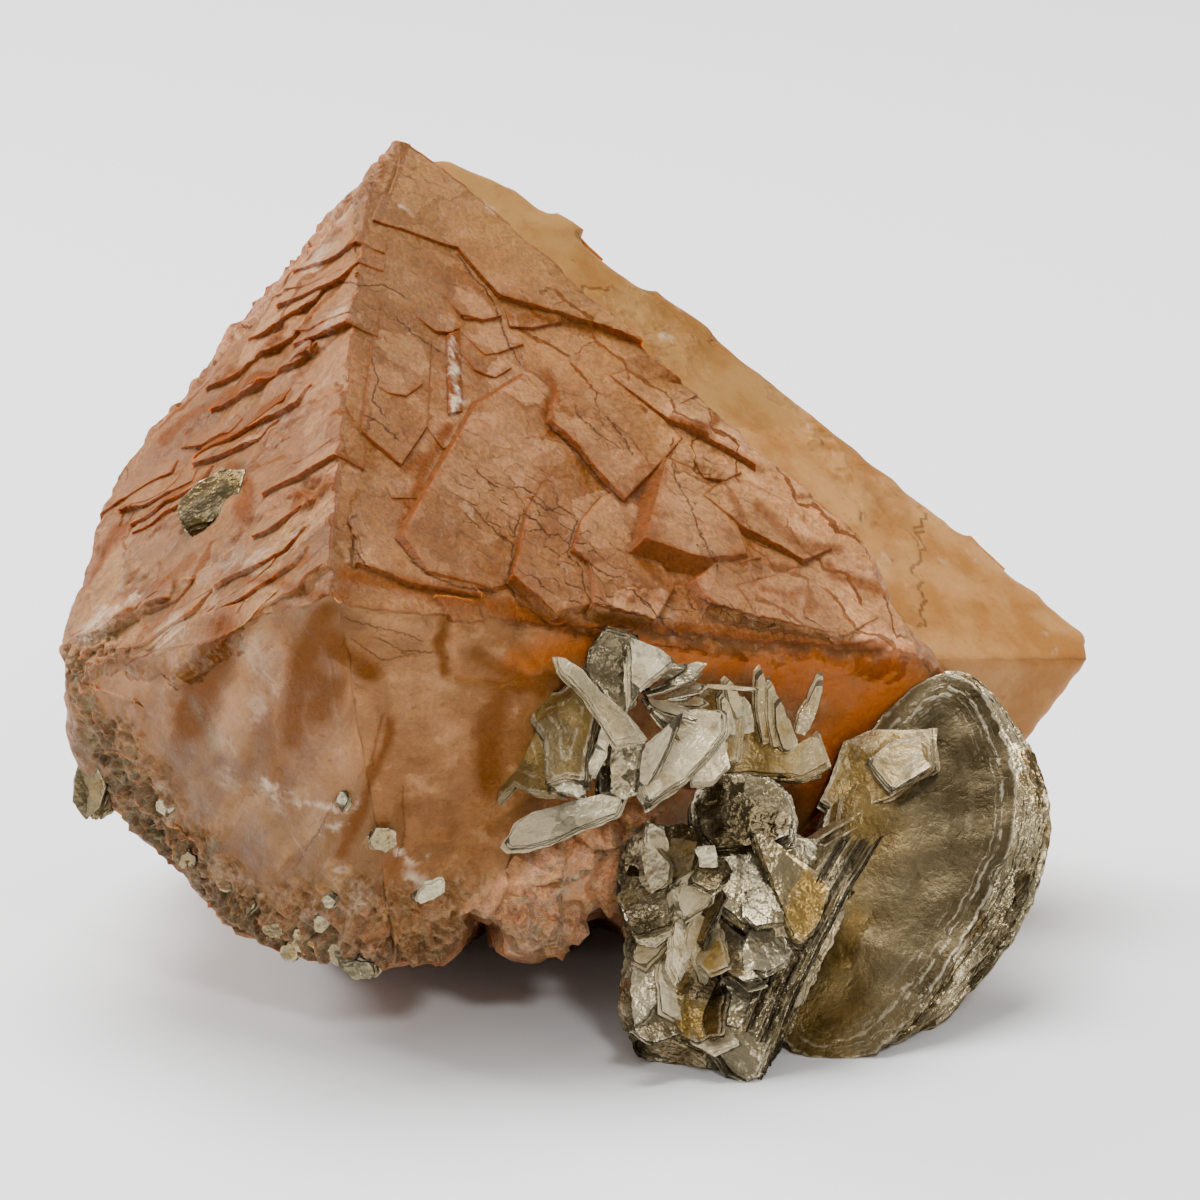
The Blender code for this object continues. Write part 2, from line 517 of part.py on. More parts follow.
for k in range(5):
    slope = -6 + 9 * k
    way = math.radians(slope)
    book.append(leaf((18.4 + 0.5 * k, -15.8 + 0.8 * k, 15.6 - 0.5 * k), (-math.sin(way), math.cos(way), 0.35), 1.9,
                     0.35, 2.2, 0))
fanBook = cluster("muscovite_fan_book", book, room)

# Rosette under the second crystal at the back
random.seed(10)
rear = []
for k in range(6):
    rear.append(leaf((23.6, -20.5, -17.6 - 1.25 * k), (0.35, -0.1, -0.9), 6.6 - 0.3 * (k % 3), 1.5, 1.1, 8 * k, 8))
for k in range(10):
    ring = math.radians(36 * k)
    rear.append(leaf((24.6 + 3.4 * math.cos(ring), -19.6 + 3.2 * math.sin(ring), -25.4 - 0.3 * (k % 4)),
                     (0.3 + 0.8 * math.cos(ring), 0.1 + 0.8 * math.sin(ring), -0.7), 4.3, 1.2, 1.2, 36 * k, 6))
rearBook = cluster("muscovite_rear_rosette", rear, room)


# The lower rosette has a place of its own in front of the book and under the upper rosette. Its long side
# towards the book is undercut, so that the book reaches behind it.
UNDERCUT = 6.0
place = [(-3.0, -15.4, False), (6.5, -14.8, False), (7.9, -12.9, False), (13.6, -12.9, False), (14.7, -14.6, False),
         (15.2, -16.4, False), (19.6, -17.0, True), (20.8, -17.6, True), (11.3, -35.4, True), (10.8, -36.4, True),
         (-3.0, -36.4, False)]


def widened(rim, by):
    """The outline with every edge moved outwards, for an outline that runs clockwise."""
    moved = []
    for k in range(len(rim)):
        before = Vector(rim[k]) - Vector(rim[k - 1])
        after = Vector(rim[(k + 1) % len(rim)]) - Vector(rim[k])
        outA = Vector((-before.y, before.x)).normalized()
        outB = Vector((-after.y, after.x)).normalized()
        corner = (outA + outB).normalized()
        moved.append(Vector(rim[k]) + corner * (by / max(0.4, corner.dot(outA))))
    return moved


for body in (lowerRosette, upperRosette, fanBook):
    parting = 0.0 if body is lowerRosette else GAP * 1.1
    front = widened([(u + (UNDERCUT * 0.2 if edge else 0.0), v) for u, v, edge in place], parting)
    rear = widened([(u - (UNDERCUT * 0.8 if edge else 0.0), v) for u, v, edge in place], parting)
    column = prism("place", [spot(u, v, 40.0) for u, v in front], [spot(u, v, -20.0) for u, v in rear])
    combine(body, column, "INTERSECT" if body is lowerRosette else "DIFFERENCE")

# Small flakes on the left
random.seed(2)
flake = leaf(dropped(leftUpper, -27.6, 6.9) + leftUpper[0] * 0.9, (-0.5, 0.66, 0.6), 2.9, 2.0, 1.1, 30, 7)
edgeFlake = leaf(dropped(leftLower, -37.2, -13.6) + leftLower[0] * 0.5, (-0.7, -0.2, 0.7), 1.9, 1.8, 1.3, 60, 6)

finish(crystal, "scheelite_crystal", scheeliteLook)
finish(upperRosette, "muscovite_upper_rosette", muscoviteLook)
finish(lowerRosette, "muscovite_lower_rosette", muscoviteLook)
finish(fanBook, "muscovite_fan_book", muscoviteLook)
finish(rearBook, "muscovite_rear_rosette", muscoviteLook)
finish(cluster("x", [flake], room), "muscovite_left_flake", muscoviteLook)
finish(cluster("x", [edgeFlake], room), "muscovite_edge_flake", muscoviteLook)

# The origin is the bottom centre of the bounding box
corners = [vertex.co for obj in bpy.data.objects for vertex in obj.data.vertices]
middleX = (min(c.x for c in corners) + max(c.x for c in corners)) / 2
middleY = (min(c.y for c in corners) + max(c.y for c in corners)) / 2
shift = Vector((middleX, middleY, 0.0))
print("front frame's zero lies at", -shift)
for obj in bpy.data.objects:
    for vertex in obj.data.vertices:
        vertex.co -= shift
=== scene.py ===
import math

import bmesh
import bpy
import numpy as np
from mathutils import Euler, Matrix, Vector, noise
from mathutils.geometry import delaunay_2d_cdt


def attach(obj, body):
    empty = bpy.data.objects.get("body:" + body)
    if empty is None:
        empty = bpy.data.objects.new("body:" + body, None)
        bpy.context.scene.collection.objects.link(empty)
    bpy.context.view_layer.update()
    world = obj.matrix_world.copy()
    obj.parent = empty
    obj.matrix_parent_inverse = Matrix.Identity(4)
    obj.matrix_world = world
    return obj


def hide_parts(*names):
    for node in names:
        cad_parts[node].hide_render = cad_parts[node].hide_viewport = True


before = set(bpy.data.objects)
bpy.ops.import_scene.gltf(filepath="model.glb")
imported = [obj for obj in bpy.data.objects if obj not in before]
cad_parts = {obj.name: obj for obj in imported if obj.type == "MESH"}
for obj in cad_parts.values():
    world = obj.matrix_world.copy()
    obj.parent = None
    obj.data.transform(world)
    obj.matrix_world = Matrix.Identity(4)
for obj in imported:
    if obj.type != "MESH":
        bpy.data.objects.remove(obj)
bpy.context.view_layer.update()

bpy.ops.object.select_all(action="DESELECT")
mm = 0.001

# the front frame: u to the right, v up, w towards the viewer, in millimetres, leaning back;
# eye is how far in front of its zero the viewer stands
frontFrame = {"lean": 15.0, "lift": 26.5, "zeroX": 0.8971, "zeroY": 2.0163, "eye": 600.0}
leanAngle = math.radians(frontFrame["lean"])
axisU = Vector((1.0, 0.0, 0.0))
axisV = Vector((0.0, math.sin(leanAngle), math.cos(leanAngle)))
axisW = Vector((0.0, -math.cos(leanAngle), math.sin(leanAngle)))
zero = Vector((frontFrame["zeroX"], frontFrame["zeroY"], frontFrame["lift"]))

# the two crystals: stretch, turn and middle of each, in the front frame
crystals = {
    "ratio": 1.03, "turn": (-24.5, -5.4, -4.2), "centre": (-14.6, -7.9, 0.0),
    "secondTurn": 5.5, "secondCentre": (-4.6, -9.9, -12.5),
}


def spot(u, v, w):
    return axisU * u + axisV * v + axisW * w + zero


# a crystal face as its outward normal and its distance along it
def facePlane(axes, centre, signs, reach, rise=1.0):
    normal = axes[0] * signs[0] + axes[1] * signs[1] + axes[2] * (signs[2] / (rise * crystals["ratio"]))
    size = normal.length
    normal = normal / size
    return normal, reach / size + normal.dot(centre)


turnBy = Euler([math.radians(a) for a in crystals["turn"]], "XYZ").to_matrix()
mainAxes = [turnBy.col[k].copy() for k in range(3)]
mainCentre = spot(*crystals["centre"])
secondCentre = spot(*crystals["secondCentre"])
frontUpper = facePlane(mainAxes, mainCentre, (1, -1, 1), 45.2)
secondSpin = Matrix.Rotation(math.radians(crystals["secondTurn"]), 3, frontUpper[0])
secondAxes = [secondSpin @ axis for axis in mainAxes]
faces = {
    "frontUpper": frontUpper,
    "leftUpper": facePlane(mainAxes, mainCentre, (-1, -1, 1), 44.5),
    "frontLower": facePlane(mainAxes, mainCentre, (1, -1, -1), 45.2),
    "leftLower": facePlane(mainAxes, mainCentre, (-1, -1, -1), 43.0),
    "rearUpper": facePlane(mainAxes, mainCentre, (1, 1, 1), 43.5),
    "rearLeftUpper": facePlane(mainAxes, mainCentre, (-1, 1, 1), 41.0),
    "rearLeftLower": facePlane(mainAxes, mainCentre, (-1, 1, -1), 36.0),
    "secondUpper": facePlane(secondAxes, secondCentre, (1, -1, 1), 45.2),
    "secondRear": facePlane(secondAxes, secondCentre, (1, 1, 1), 44.6),
    "secondLower": facePlane(secondAxes, secondCentre, (1, -1, -1), 45.2),
    "secondRearLower": facePlane(secondAxes, secondCentre, (1, 1, -1), 40.0),
    "secondShoulder": facePlane(secondAxes, secondCentre, (1, 0, 1), 44.6, 2.0),
}
faceNames = list(faces)

# scheelite: the solid cut into fine triangles, then given its growth relief face by face.
# Spacing of the points in millimetres, by how far a flat is turned to the front
scheeliteMesh = {"front": 0.31, "side": 0.6, "back": 1.1, "frontFrom": 0.12, "sideFrom": -0.25,
                 "wobble": 0.12, "margin": 0.6, "smoothBelow": 22.0}


def spacingFor(normal):
    facing = normal.dot(axisW)
    if facing > scheeliteMesh["frontFrom"]:
        return scheeliteMesh["front"]
    if facing > scheeliteMesh["sideFrom"]:
        return scheeliteMesh["side"]
    return scheeliteMesh["back"]


def insideMask(points, loop):
    inside = np.zeros(len(points), bool)
    x = points[:, 0]
    y = points[:, 1]
    for k in range(len(loop)):
        x0, y0 = loop[k - 1]
        x1, y1 = loop[k]
        if y0 == y1:
            continue
        crosses = (y0 > y) != (y1 > y)
        inside ^= crosses & (x < (x1 - x0) * (y - y0) / (y1 - y0) + x0)
    return inside


def awayFrom(points, loop, gap):
    keep = np.ones(len(points), bool)
    for k in range(len(loop)):
        a = loop[k - 1]
        b = loop[k]
        low = np.minimum(a, b) - gap
        high = np.maximum(a, b) + gap
        near = np.flatnonzero(((points > low) & (points < high)).all(axis=1) & keep)
        if len(near) == 0:
            continue
        way = b - a
        share = np.clip(((points[near] - a) @ way) / max(way @ way, 1e-12), 0, 1)
        gone = np.linalg.norm(points[near] - (a + share[:, None] * way), axis=1) < gap
        keep[near[gone]] = False
    return keep


# points in rows set off by half a step, inside the outline and clear of it
def innerGrid(loop, step, margin, rng=None, wobble=0.0):
    low = loop.min(axis=0)
    high = loop.max(axis=0)
    across = np.arange(low[0], high[0] + step, step)
    gx, gy = np.meshgrid(across, np.arange(low[1], high[1] + step, step * 0.866))
    gx = gx + (np.arange(gx.shape[0]) % 2)[:, None] * step * 0.5
    grid = np.stack([gx.ravel(), gy.ravel()], axis=1)
    if rng is not None:
        grid += rng.uniform(-1, 1, grid.shape) * step * wobble
    grid = grid[insideMask(grid, loop)]
    return grid[awayFrom(grid, loop, step * margin)]


# every flat polygon of the solid is triangulated anew; neighbours share the points along their edge
def densify(piece):
    bm = bmesh.new()
    bm.from_mesh(piece.data)
    bmesh.ops.scale(bm, vec=(1000, 1000, 1000), verts=bm.verts)
    bmesh.ops.remove_doubles(bm, verts=bm.verts, dist=0.001)
    bmesh.ops.dissolve_limit(bm, angle_limit=math.radians(0.4), verts=bm.verts, edges=bm.edges)
    bm.normal_update()
    bm.verts.index_update()
    bm.faces.index_update()
    places = [v.co.copy() for v in bm.verts]
    along = {}
    for edge in bm.edges:
        step = min(spacingFor(f.normal) for f in edge.link_faces)
        cuts = max(1, int(math.ceil(edge.calc_length() / step)))
        a, b = edge.verts
        row = [a.index]
        for k in range(1, cuts):
            row.append(len(places))
            places.append(a.co.lerp(b.co, k / cuts))
        row.append(b.index)
        along[edge] = row
    rng = np.random.default_rng(4)
    corners = []
    owners = []
    flats = []
    for face in bm.faces:
        normal = face.normal.copy()
        side = normal.orthogonal().normalized()
        up = normal.cross(side)
        centre = face.calc_center_median()
        loopIds = []
        for loop in face.loops:
            row = along[loop.edge]
            if row[0] != loop.vert.index:
                row = row[::-1]
            loopIds.extend(row[:-1])
        rim = np.array([((places[i] - centre).dot(side), (places[i] - centre).dot(up)) for i in loopIds])
        step = spacingFor(normal)
        inner = np.zeros((0, 2))
        if min(rim.max(axis=0) - rim.min(axis=0)) > step * 0.8 and face.calc_area() > step * step:
            inner = innerGrid(rim, step, scheeliteMesh["margin"], rng, scheeliteMesh["wobble"])
        count = len(rim)
        pts = [Vector(p) for p in rim] + [Vector(p) for p in inner]
        edges = [(k, (k + 1) % count) for k in range(count)]
        flat, _, tris, original, _, _ = delaunay_2d_cdt(pts, edges, [], 1, 1e-5)
        ids = []
        for k, p in enumerate(flat):
            known = [s for s in original[k] if s < count]
            if known:
                ids.append(loopIds[known[0]])
            else:
                ids.append(len(places))
                places.append(centre + side * p.x + up * p.y)
        for tri in tris:
            corners.append([ids[i] for i in tri])
            owners.append(face.index)
        flats.append((*normal, *centre, face.calc_area()))
    bm.free()
    return np.array([tuple(p) for p in places]), np.array(corners), np.array(owners), np.array(flats)


# how near a crystal face, in millimetres, and how parallel to it a flat has to be to belong to it
sortLook = {"near": 2.2, "lean": 0.03, "leanCost": 150.0, "worst": 5.5, "wallArea": 14.0, "behind": -1.0}


# each flat polygon's kind: a crystal face's index, -10 less the index for a step's wall on that face,
# -2 for broken rock, -3 for the resting face
def sortFlats(flats):
    normals = flats[:, :3]
    centres = flats[:, 3:6]
    area = flats[:, 6]
    result = np.full(len(flats), -2)
    best = np.full(len(flats), sortLook["worst"])
    nearest = np.full(len(flats), sortLook["near"])
    wallOf = np.full(len(flats), -1)
    rears = [faces["rearUpper"], facePlane(mainAxes, mainCentre, (1, 1, -1), 43.5)]
    behind = np.max([centres @ np.array(normal) - reach for normal, reach in rears], axis=0)
    behind = behind > sortLook["behind"]
    for k, name in enumerate(faceNames):
        normal = np.array(faces[name][0])
        height = centres @ normal - faces[name][1]
        if name.startswith("second"):
            height = np.where(behind, height, 99.0)
        lean = 1.0 - normals @ normal
        score = np.abs(height) + sortLook["leanCost"] * lean
        flat = (lean < sortLook["lean"]) & (np.abs(height) < sortLook["near"]) & (score < best)
        best[flat] = score[flat]
        result[flat] = k
        near = (np.abs(height) < nearest) & (lean > sortLook["lean"])
        nearest[near] = np.abs(height)[near]
        wallOf[near] = k
    wall = (result == -2) & (wallOf >= 0) & (area < sortLook["wallArea"])
    result[wall] = -10 - wallOf[wall]
    result[normals[:, 2] < -0.995] = -3
    return result


# one growth plate: a five- to seven-sided outline that is highest downhill
def makePlate(rng, u, v, length, width, angle, lift, downhill, tilt):
    long = 0.5 * length * rng.uniform(0.55, 1.5)
    wide = 0.5 * width * rng.uniform(0.6, 1.4)
    sides = int(rng.integers(5, 8))
    turns = (np.arange(sides) + rng.uniform(-0.28, 0.28, sides)) * 2 * math.pi / sides
    return {"u": u, "v": v, "long": long, "wide": wide, "angle": math.radians(angle), "turns": turns,
            "reach": rng.uniform(0.72, 1.0, sides), "lift": lift * rng.uniform(0.35, 1.5),
            "down": math.radians(downhill), "lean": rng.uniform(-tilt, tilt, 2)}


def scatterPlates(rng, count, box, length, width, angle, spread, lift, downhill, swing=25.0, tilt=0.03):
    rows = []
    for _ in range(count):
        u = rng.uniform(box[0], box[2])
        v = rng.uniform(box[1], box[3])
        rows.append(makePlate(rng, u, v, length, width, angle + rng.uniform(-spread, spread), lift,
                              downhill + rng.uniform(-swing, swing), tilt))
    return rows


def plateRelief(uv, plates, warp):
    height = np.zeros(len(uv))
    for plate in plates:
        size = max(plate["long"], plate["wide"]) * 1.3
        du = uv[:, 0] - plate["u"]
        dv = uv[:, 1] - plate["v"]
        near = np.flatnonzero((np.abs(du) < size) & (np.abs(dv) < size))
        if len(near) == 0:
            continue
        du = du[near] + warp[near, 0]
        dv = dv[near] + warp[near, 1]
        c = math.cos(plate["angle"])
        s = math.sin(plate["angle"])
        x = (du * c + dv * s) / plate["long"]
        y = (-du * s + dv * c) / plate["wide"]
        edge = np.full(len(near), -9.0)
        for turn, reach in zip(plate["turns"], plate["reach"]):
            edge = np.maximum(edge, x * math.cos(turn) + y * math.sin(turn) - reach)
        fall = (du * math.cos(plate["down"]) + dv * math.sin(plate["down"])) / size
        top = plate["lift"] * (0.45 + 0.9 * fall) + du * plate["lean"][0] + dv * plate["lean"][1]
        inside = edge < 0
        height[near[inside]] = np.maximum(height[near[inside]], top[inside])
    return height


def ripple(points, scale, seed, depth=2):
    shift = Vector((seed * 7.1, seed * 3.7, seed * 1.3))
    return np.array([noise.fractal(Vector(p) * scale + shift, 0.6, 2.0, depth) for p in points])


# plates on the faces seen from the front: box and sizes in millimetres, turns in degrees
reliefLook = {
    "frontUpper": [
        {"count": 26, "box": (-19, 12, 12, 36), "length": 9.0, "width": 4.0, "angle": -34, "spread": 14,
         "lift": 0.08, "downhill": -125, "tilt": 0.01},
        {"count": 90, "box": (2, 2, 23, 24), "length": 6.4, "width": 2.0, "angle": -32, "spread": 12,
         "lift": 0.55, "downhill": -112, "tilt": 0.03},
        {"count": 26, "box": (-7, 10, 10, 24), "length": 6.2, "width": 2.0, "angle": -27, "spread": 12,
         "lift": 0.28, "downhill": -115, "tilt": 0.03},
        {"count": 40, "box": (-16, -4, 10, 11), "length": 5.0, "width": 2.6, "angle": -48, "spread": 24,
         "lift": 0.24, "downhill": -140, "tilt": 0.03},
        {"count": 44, "box": (2, -4, 24, 7), "length": 4.4, "width": 1.9, "angle": -20, "spread": 14,
         "lift": 0.34, "downhill": -112, "tilt": 0.04},
    ],
    "leftUpper": [
        {"count": 90, "box": (-40, -2, -16, 34), "length": 9.0, "width": 2.4, "angle": 47, "spread": 8,
         "lift": 0.70, "downhill": -42, "tilt": 0.05},
        {"count": 110, "box": (-38, -2, -16, 32), "length": 5.2, "width": 1.5, "angle": 48, "spread": 11,
         "lift": 0.75, "downhill": -42, "tilt": 0.12},
    ],
    "frontLower": [
        {"count": 20, "box": (-20, -26, 2, -1), "length": 8.0, "width": 4.2, "angle": 15, "spread": 40,
         "lift": 0.22, "downhill": -150, "tilt": 0.03},
    ],
    "leftLower": [
        {"count": 36, "box": (-40, -14, -16, 2), "length": 9.0, "width": 3.2, "angle": 50, "spread": 14,
         "lift": 0.45, "downhill": -35, "tilt": 0.04},
        {"count": 36, "box": (-34, -26, -14, -8), "length": 6.5, "width": 3.0, "angle": 62, "spread": 25,
         "lift": 0.40, "downhill": -20, "tilt": 0.05},
    ],
    "secondUpper": [
        {"count": 30, "box": (-10, -4, 38, 34), "length": 10.0, "width": 2.6, "angle": -34, "spread": 6,
         "lift": 0.14, "downhill": -120, "tilt": 0.01},
    ],
    "secondLower": [
        {"count": 20, "box": (6, -24, 38, -2), "length": 6.0, "width": 2.4, "angle": -20, "spread": 15,
         "lift": 0.14, "downhill": -120, "tilt": 0.02},
    ],
}
# plates on the other faces, the broken ground, and the wear of the plates' rims
backLook = {"count": 150, "length": 7.5, "width": 2.6, "lean": (10, 35), "spread": 14, "lift": 0.5,
            "tilt": 0.03}
brokenLook = {"swell": 0.9, "grain": 0.4, "step": 0.8, "steps": 5.0, "stepScale": 0.07, "stepFrom": 10.0,
              "stretch": 1.8}
wornLook = {"rounds": 2, "share": 0.5, "follow": 25, "furthest": 1.6}
crumbLook = {"coarse": 0.8, "coarseScale": 0.75, "fine": 0.2, "fineScale": 2.2}
# how steep a triangle is coloured with a step wall's painted shade and glow, and how far from a worn edge
# that fades
wallLook = {"from": 0.05, "over": 0.2, "edgeReach": 3.0, "edgeShare": 1.6}
# how far each face is rubbed smooth, and in how many rounds
rubbedLook = {"rounds": 14, "fully": 0.45, "leftLower": 0.6, "frontLower": 0.35, "secondUpper": 0.55,
              "secondLower": 0.5, "secondShoulder": 0.5, "frontUpper": 0.03, "leftUpper": 0.02}
# edges between two faces that are worn round: how deep, and how far from the edge
roundedEdges = {("frontLower", "leftLower"): (1.2, 2.0), ("leftUpper", "leftLower"): (0.8, 1.5),
                ("frontUpper", "frontLower"): (0.3, 0.5)}
# the way the crystal's grain runs on each face, in degrees, and how far it is drawn out
grainLook = {"frontUpper": (-36, 1.6), "leftUpper": (47, 3.2), "frontLower": (10, 1.2),
             "leftLower": (55, 1.7), "secondUpper": (-34, 2.6), "secondLower": (-20, 1.8),
             "others": (20.0, 1.5)}

# marks drawn on the faces seen from the front, in steps of 0.075 mm from the upper left corner of a square
# sheet about the front frame's zero: points, half width in steps, strength
sheetStep = 0.075
sheetMiddle = 600
# orange scarps and scars: the crystal's own orange, darkened and saturated as painted shade and as painted
# glow of light through the crystal
orangeShadeMarks = [
    ([(448, 428), (424, 472), (401, 524)], 6, 1.0),
    ([(600, 622), (690, 630), (790, 640), (880, 650)], 7, 0.9),
    ([(640, 560), (668, 590), (700, 604)], 4, 0.7),
    ([(498, 690), (487, 735), (490, 785)], 14, 0.9),
    ([(478, 655), (500, 668), (540, 690)], 8, 0.8),
    ([(345, 574), (400, 586), (480, 602), (560, 624), (620, 640)], 9, 0.9),
    ([(250, 578), (285, 586), (323, 597), (345, 592)], 5, 0.8),
    ([(545, 375), (553, 392), (546, 415), (553, 432)], 6, 0.9),
    ([(505, 316), (560, 322), (610, 334), (640, 345), (665, 372), (700, 396), (722, 402)], 4, 0.8),
    ([(621, 342), (645, 366), (690, 386)], 7, 0.5),
    ([(668, 424), (700, 432), (714, 425), (718, 412)], 5, 0.9),
    ([(724, 424), (745, 432), (772, 439)], 5, 0.6),
    ([(712, 451), (735, 458), (762, 470)], 4, 0.7),
    ([(728, 495), (738, 515), (744, 540), (750, 562)], 3.5, 0.7),
    ([(757, 508), (778, 530), (800, 548), (836, 551)], 6, 0.8),
    ([(828, 568), (832, 576), (860, 586), (892, 592)], 6, 0.9),
    ([(762, 588), (786, 598), (806, 592), (812, 610)], 4, 0.7),
    ([(855, 569), (905, 572), (960, 575)], 3, 0.4),
    ([(455, 265), (490, 300), (503, 330), (525, 370)], 3, 0.5),
    ([(655, 345), (700, 365), (740, 385), (790, 402)], 4, 0.4),
    ([(405, 470), (428, 458), (440, 446)], 5, 0.9),
    ([(640, 590), (660, 600), (690, 600)], 4, 0.6),
    ([(222, 632), (206, 672), (190, 722)], 21, 1.0),
    ([(240, 600), (226, 628)], 8, 0.5),
    ([(318, 618), (304, 660), (298, 700), (294, 738)], 13, 1.0),
    ([(322, 640), (345, 660), (374, 674)], 11, 1.0),
    ([(308, 676), (330, 690), (318, 712)], 15, 1.0),
    ([(262, 730), (282, 790), (300, 850)], 9, 0.4),
    ([(392, 735), (378, 775), (356, 820), (342, 852)], 6, 0.9),
    ([(128, 600), (160, 590), (196, 560)], 6, 0.7),
    ([(104, 650), (130, 668), (160, 672)], 9, 0.6),
    ([(392, 722), (380, 765), (362, 800), (346, 832)], 5, 0.8),
    ([(404, 795), (402, 840), (396, 905)], 6, 0.5),
    ([(450, 620), (440, 645), (446, 672)], 6, 1.0),
    ([(548, 676), (520, 690), (500, 684)], 6, 0.8),
    ([(560, 830), (600, 812), (650, 800)], 8, 0.5),
    ([(125, 532), (104, 560), (90, 588)], 7, 1.0),
    ([(300, 505), (318, 494), (332, 486)], 10, 0.9),
    ([(233, 373), (260, 365), (284, 342)], 5, 0.9),
    ([(167, 446), (190, 420), (237, 393)], 5, 0.9),
    ([(236, 470), (252, 490), (248, 520)], 9, 0.9),
    ([(268, 580), (290, 572), (312, 560)], 4, 0.8),
]
# painted glow: deep orange under the front edge, for light that comes through the crystal into the shade of
# the overhang
paintedGlowMarks = [
    ([(520, 664), (560, 650), (610, 655)], 14, 0.8),
    ([(640, 652), (720, 664), (800, 668), (900, 664)], 12, 1.0),
    ([(890, 680), (855, 730), (830, 775)], 30, 1.0),
    ([(780, 680), (840, 690)], 18, 0.9),
]
# white scuffs and grains
chalkMarks = [
    ([(500, 935), (590, 880), (690, 835)], 40, 0.7),
    ([(92, 640), (110, 615), (135, 596)], 10, 0.8),
    ([(150, 640), (190, 612), (235, 585)], 7, 0.5),
    ([(205, 590), (250, 560), (290, 540)], 12, 0.3),
    ([(245, 640), (262, 700), (230, 740)], 12, 0.4),
    ([(228, 770), (260, 790), (290, 800)], 10, 0.4),
    ([(520, 925), (545, 940)], 8, 0.5),
    ([(560, 870), (600, 850), (630, 845)], 10, 0.5),
    ([(600, 920), (622, 935)], 9, 0.9),
    ([(318, 832), (345, 822), (352, 802)], 4, 0.8),
    ([(160, 790), (172, 815)], 7, 0.8),
    ([(225, 870), (250, 895)], 12, 0.7),
    ([(310, 915), (322, 945), (352, 965), (375, 970)], 13, 0.9),
    ([(340, 870), (350, 900)], 6, 0.6),
    ([(415, 880), (440, 892), (455, 886)], 7, 0.9),
    ([(452, 340), (455, 370), (456, 408)], 6, 1.25),
    ([(400, 856), (412, 862), (424, 858)], 4, 0.9),
    ([(300, 802), (322, 808), (338, 806)], 3, 0.9),
    ([(520, 862), (548, 850)], 5, 0.8),
    ([(340, 912), (356, 900)], 8, 0.9),
    ([(264, 780), (282, 792)], 4, 0.9),
    ([(668, 298), (670, 320), (662, 352)], 5, 0.8),
    ([(402, 205), (416, 214)], 3, 0.9),
    ([(484, 206), (492, 210)], 3, 0.7),
    ([(880, 558), (888, 564)], 4, 0.8),
    ([(940, 552), (948, 560)], 4, 0.7),
    ([(912, 474), (922, 484)], 5, 0.7),
    ([(1046, 636), (1052, 648)], 5, 0.8),
    ([(1036, 580), (1044, 586)], 4, 0.9),
    ([(1060, 604), (1070, 612)], 5, 0.9),
    ([(970, 550), (980, 562)], 4, 0.6),
    ([(310, 270), (345, 215), (362, 192)], 7, 0.5),
    ([(300, 370), (330, 325), (345, 310)], 9, 0.5),
    ([(250, 440), (300, 410), (330, 380)], 6, 0.3),
    ([(200, 330), (240, 285), (290, 250)], 5, 0.4),
]
# dark crust along the lower left edge
crustMarks = [
    ([(100, 740), (150, 830), (205, 895), (260, 940), (330, 965)], 22, 1.0),
    ([(200, 700), (215, 740)], 6, 0.5),
    ([(212, 846), (206, 880)], 6, 0.9),
    ([(60, 650), (78, 690), (98, 720)], 8, 0.8),
    ([(350, 975), (420, 965), (470, 925)], 7, 0.5),
    ([(500, 940), (530, 955), (570, 930)], 6, 0.4),
]
# paler ground; a mark stronger than 1 is painted light, brightening the rib under the lower rosette, which
# lies in the rosette's shadow, and the right of the front face
paleAndLitMarks = [
    ([(146, 640), (120, 690)], 16, 0.7),
    ([(262, 640), (250, 690), (232, 735)], 18, 0.9),
    ([(340, 710), (350, 760), (340, 790)], 34, 0.5),
    ([(240, 800), (290, 830)], 22, 0.6),
    ([(420, 690), (440, 730)], 26, 0.5),
    ([(680, 500), (700, 540)], 22, 0.8),
    ([(460, 450), (500, 470)], 40, 0.6),
    ([(700, 420), (780, 470), (850, 530), (890, 620)], 60, 1.25),
    ([(560, 340), (620, 390)], 30, 0.5),
    ([(500, 930), (600, 870), (700, 830)], 50, 2.0),
    ([(380, 610), (440, 640)], 22, 0.7),
]
# where the face turns golden towards the second crystal
goldMarks = [
    ([(420, 130), (500, 215), (600, 310), (720, 400), (830, 490), (895, 590)], 42, 1.0),
    ([(560, 340), (700, 440), (800, 520)], 40, 0.6),
    ([(690, 420), (700, 430)], 60, 0.4),
]
# painted shade: darker, browner ground where the faces are to look less lit
paintedShadeMarks = [
    ([(395, 150), (410, 250), (392, 330)], 60, 0.8),
    ([(370, 400), (380, 470), (378, 520)], 26, 0.5),
    ([(470, 470), (440, 540)], 40, 0.5),
    ([(90, 620), (180, 580), (300, 560), (350, 600)], 50, 0.8),
    ([(210, 440), (260, 400)], 50, 0.4),
    ([(200, 770), (270, 830), (340, 860)], 56, 1.0),
    ([(480, 170), (560, 230), (660, 300), (760, 390)], 60, 1.0),
]
# crumbly ground, flakes and grains in a dark matrix
crumbMarks = [
    ([(112, 745), (150, 810), (205, 885), (290, 945), (400, 965), (470, 935)], 24, 1.0),
    ([(300, 905), (400, 915), (470, 905), (540, 935)], 26, 0.6),
    ([(110, 640), (72, 660), (86, 720)], 12, 0.7),
]
# where the flats are broken rock, whatever they lie parallel to
breakMarks = [
    ([(500, 930), (600, 880), (690, 840)], 70, 1.0),
]
# plates broken into small chips
mosaicMarks = [
    ([(480, 500), (540, 520), (600, 560)], 34, 1.0),
    ([(520, 590), (600, 605), (700, 620), (800, 630)], 22, 1.0),
    ([(600, 425), (620, 440)], 14, 0.7),
    ([(672, 470), (690, 510), (705, 560)], 10, 0.8),
    ([(700, 470), (740, 510), (760, 560)], 16, 0.8),
    ([(470, 440), (520, 470), (560, 470)], 26, 0.45),
]
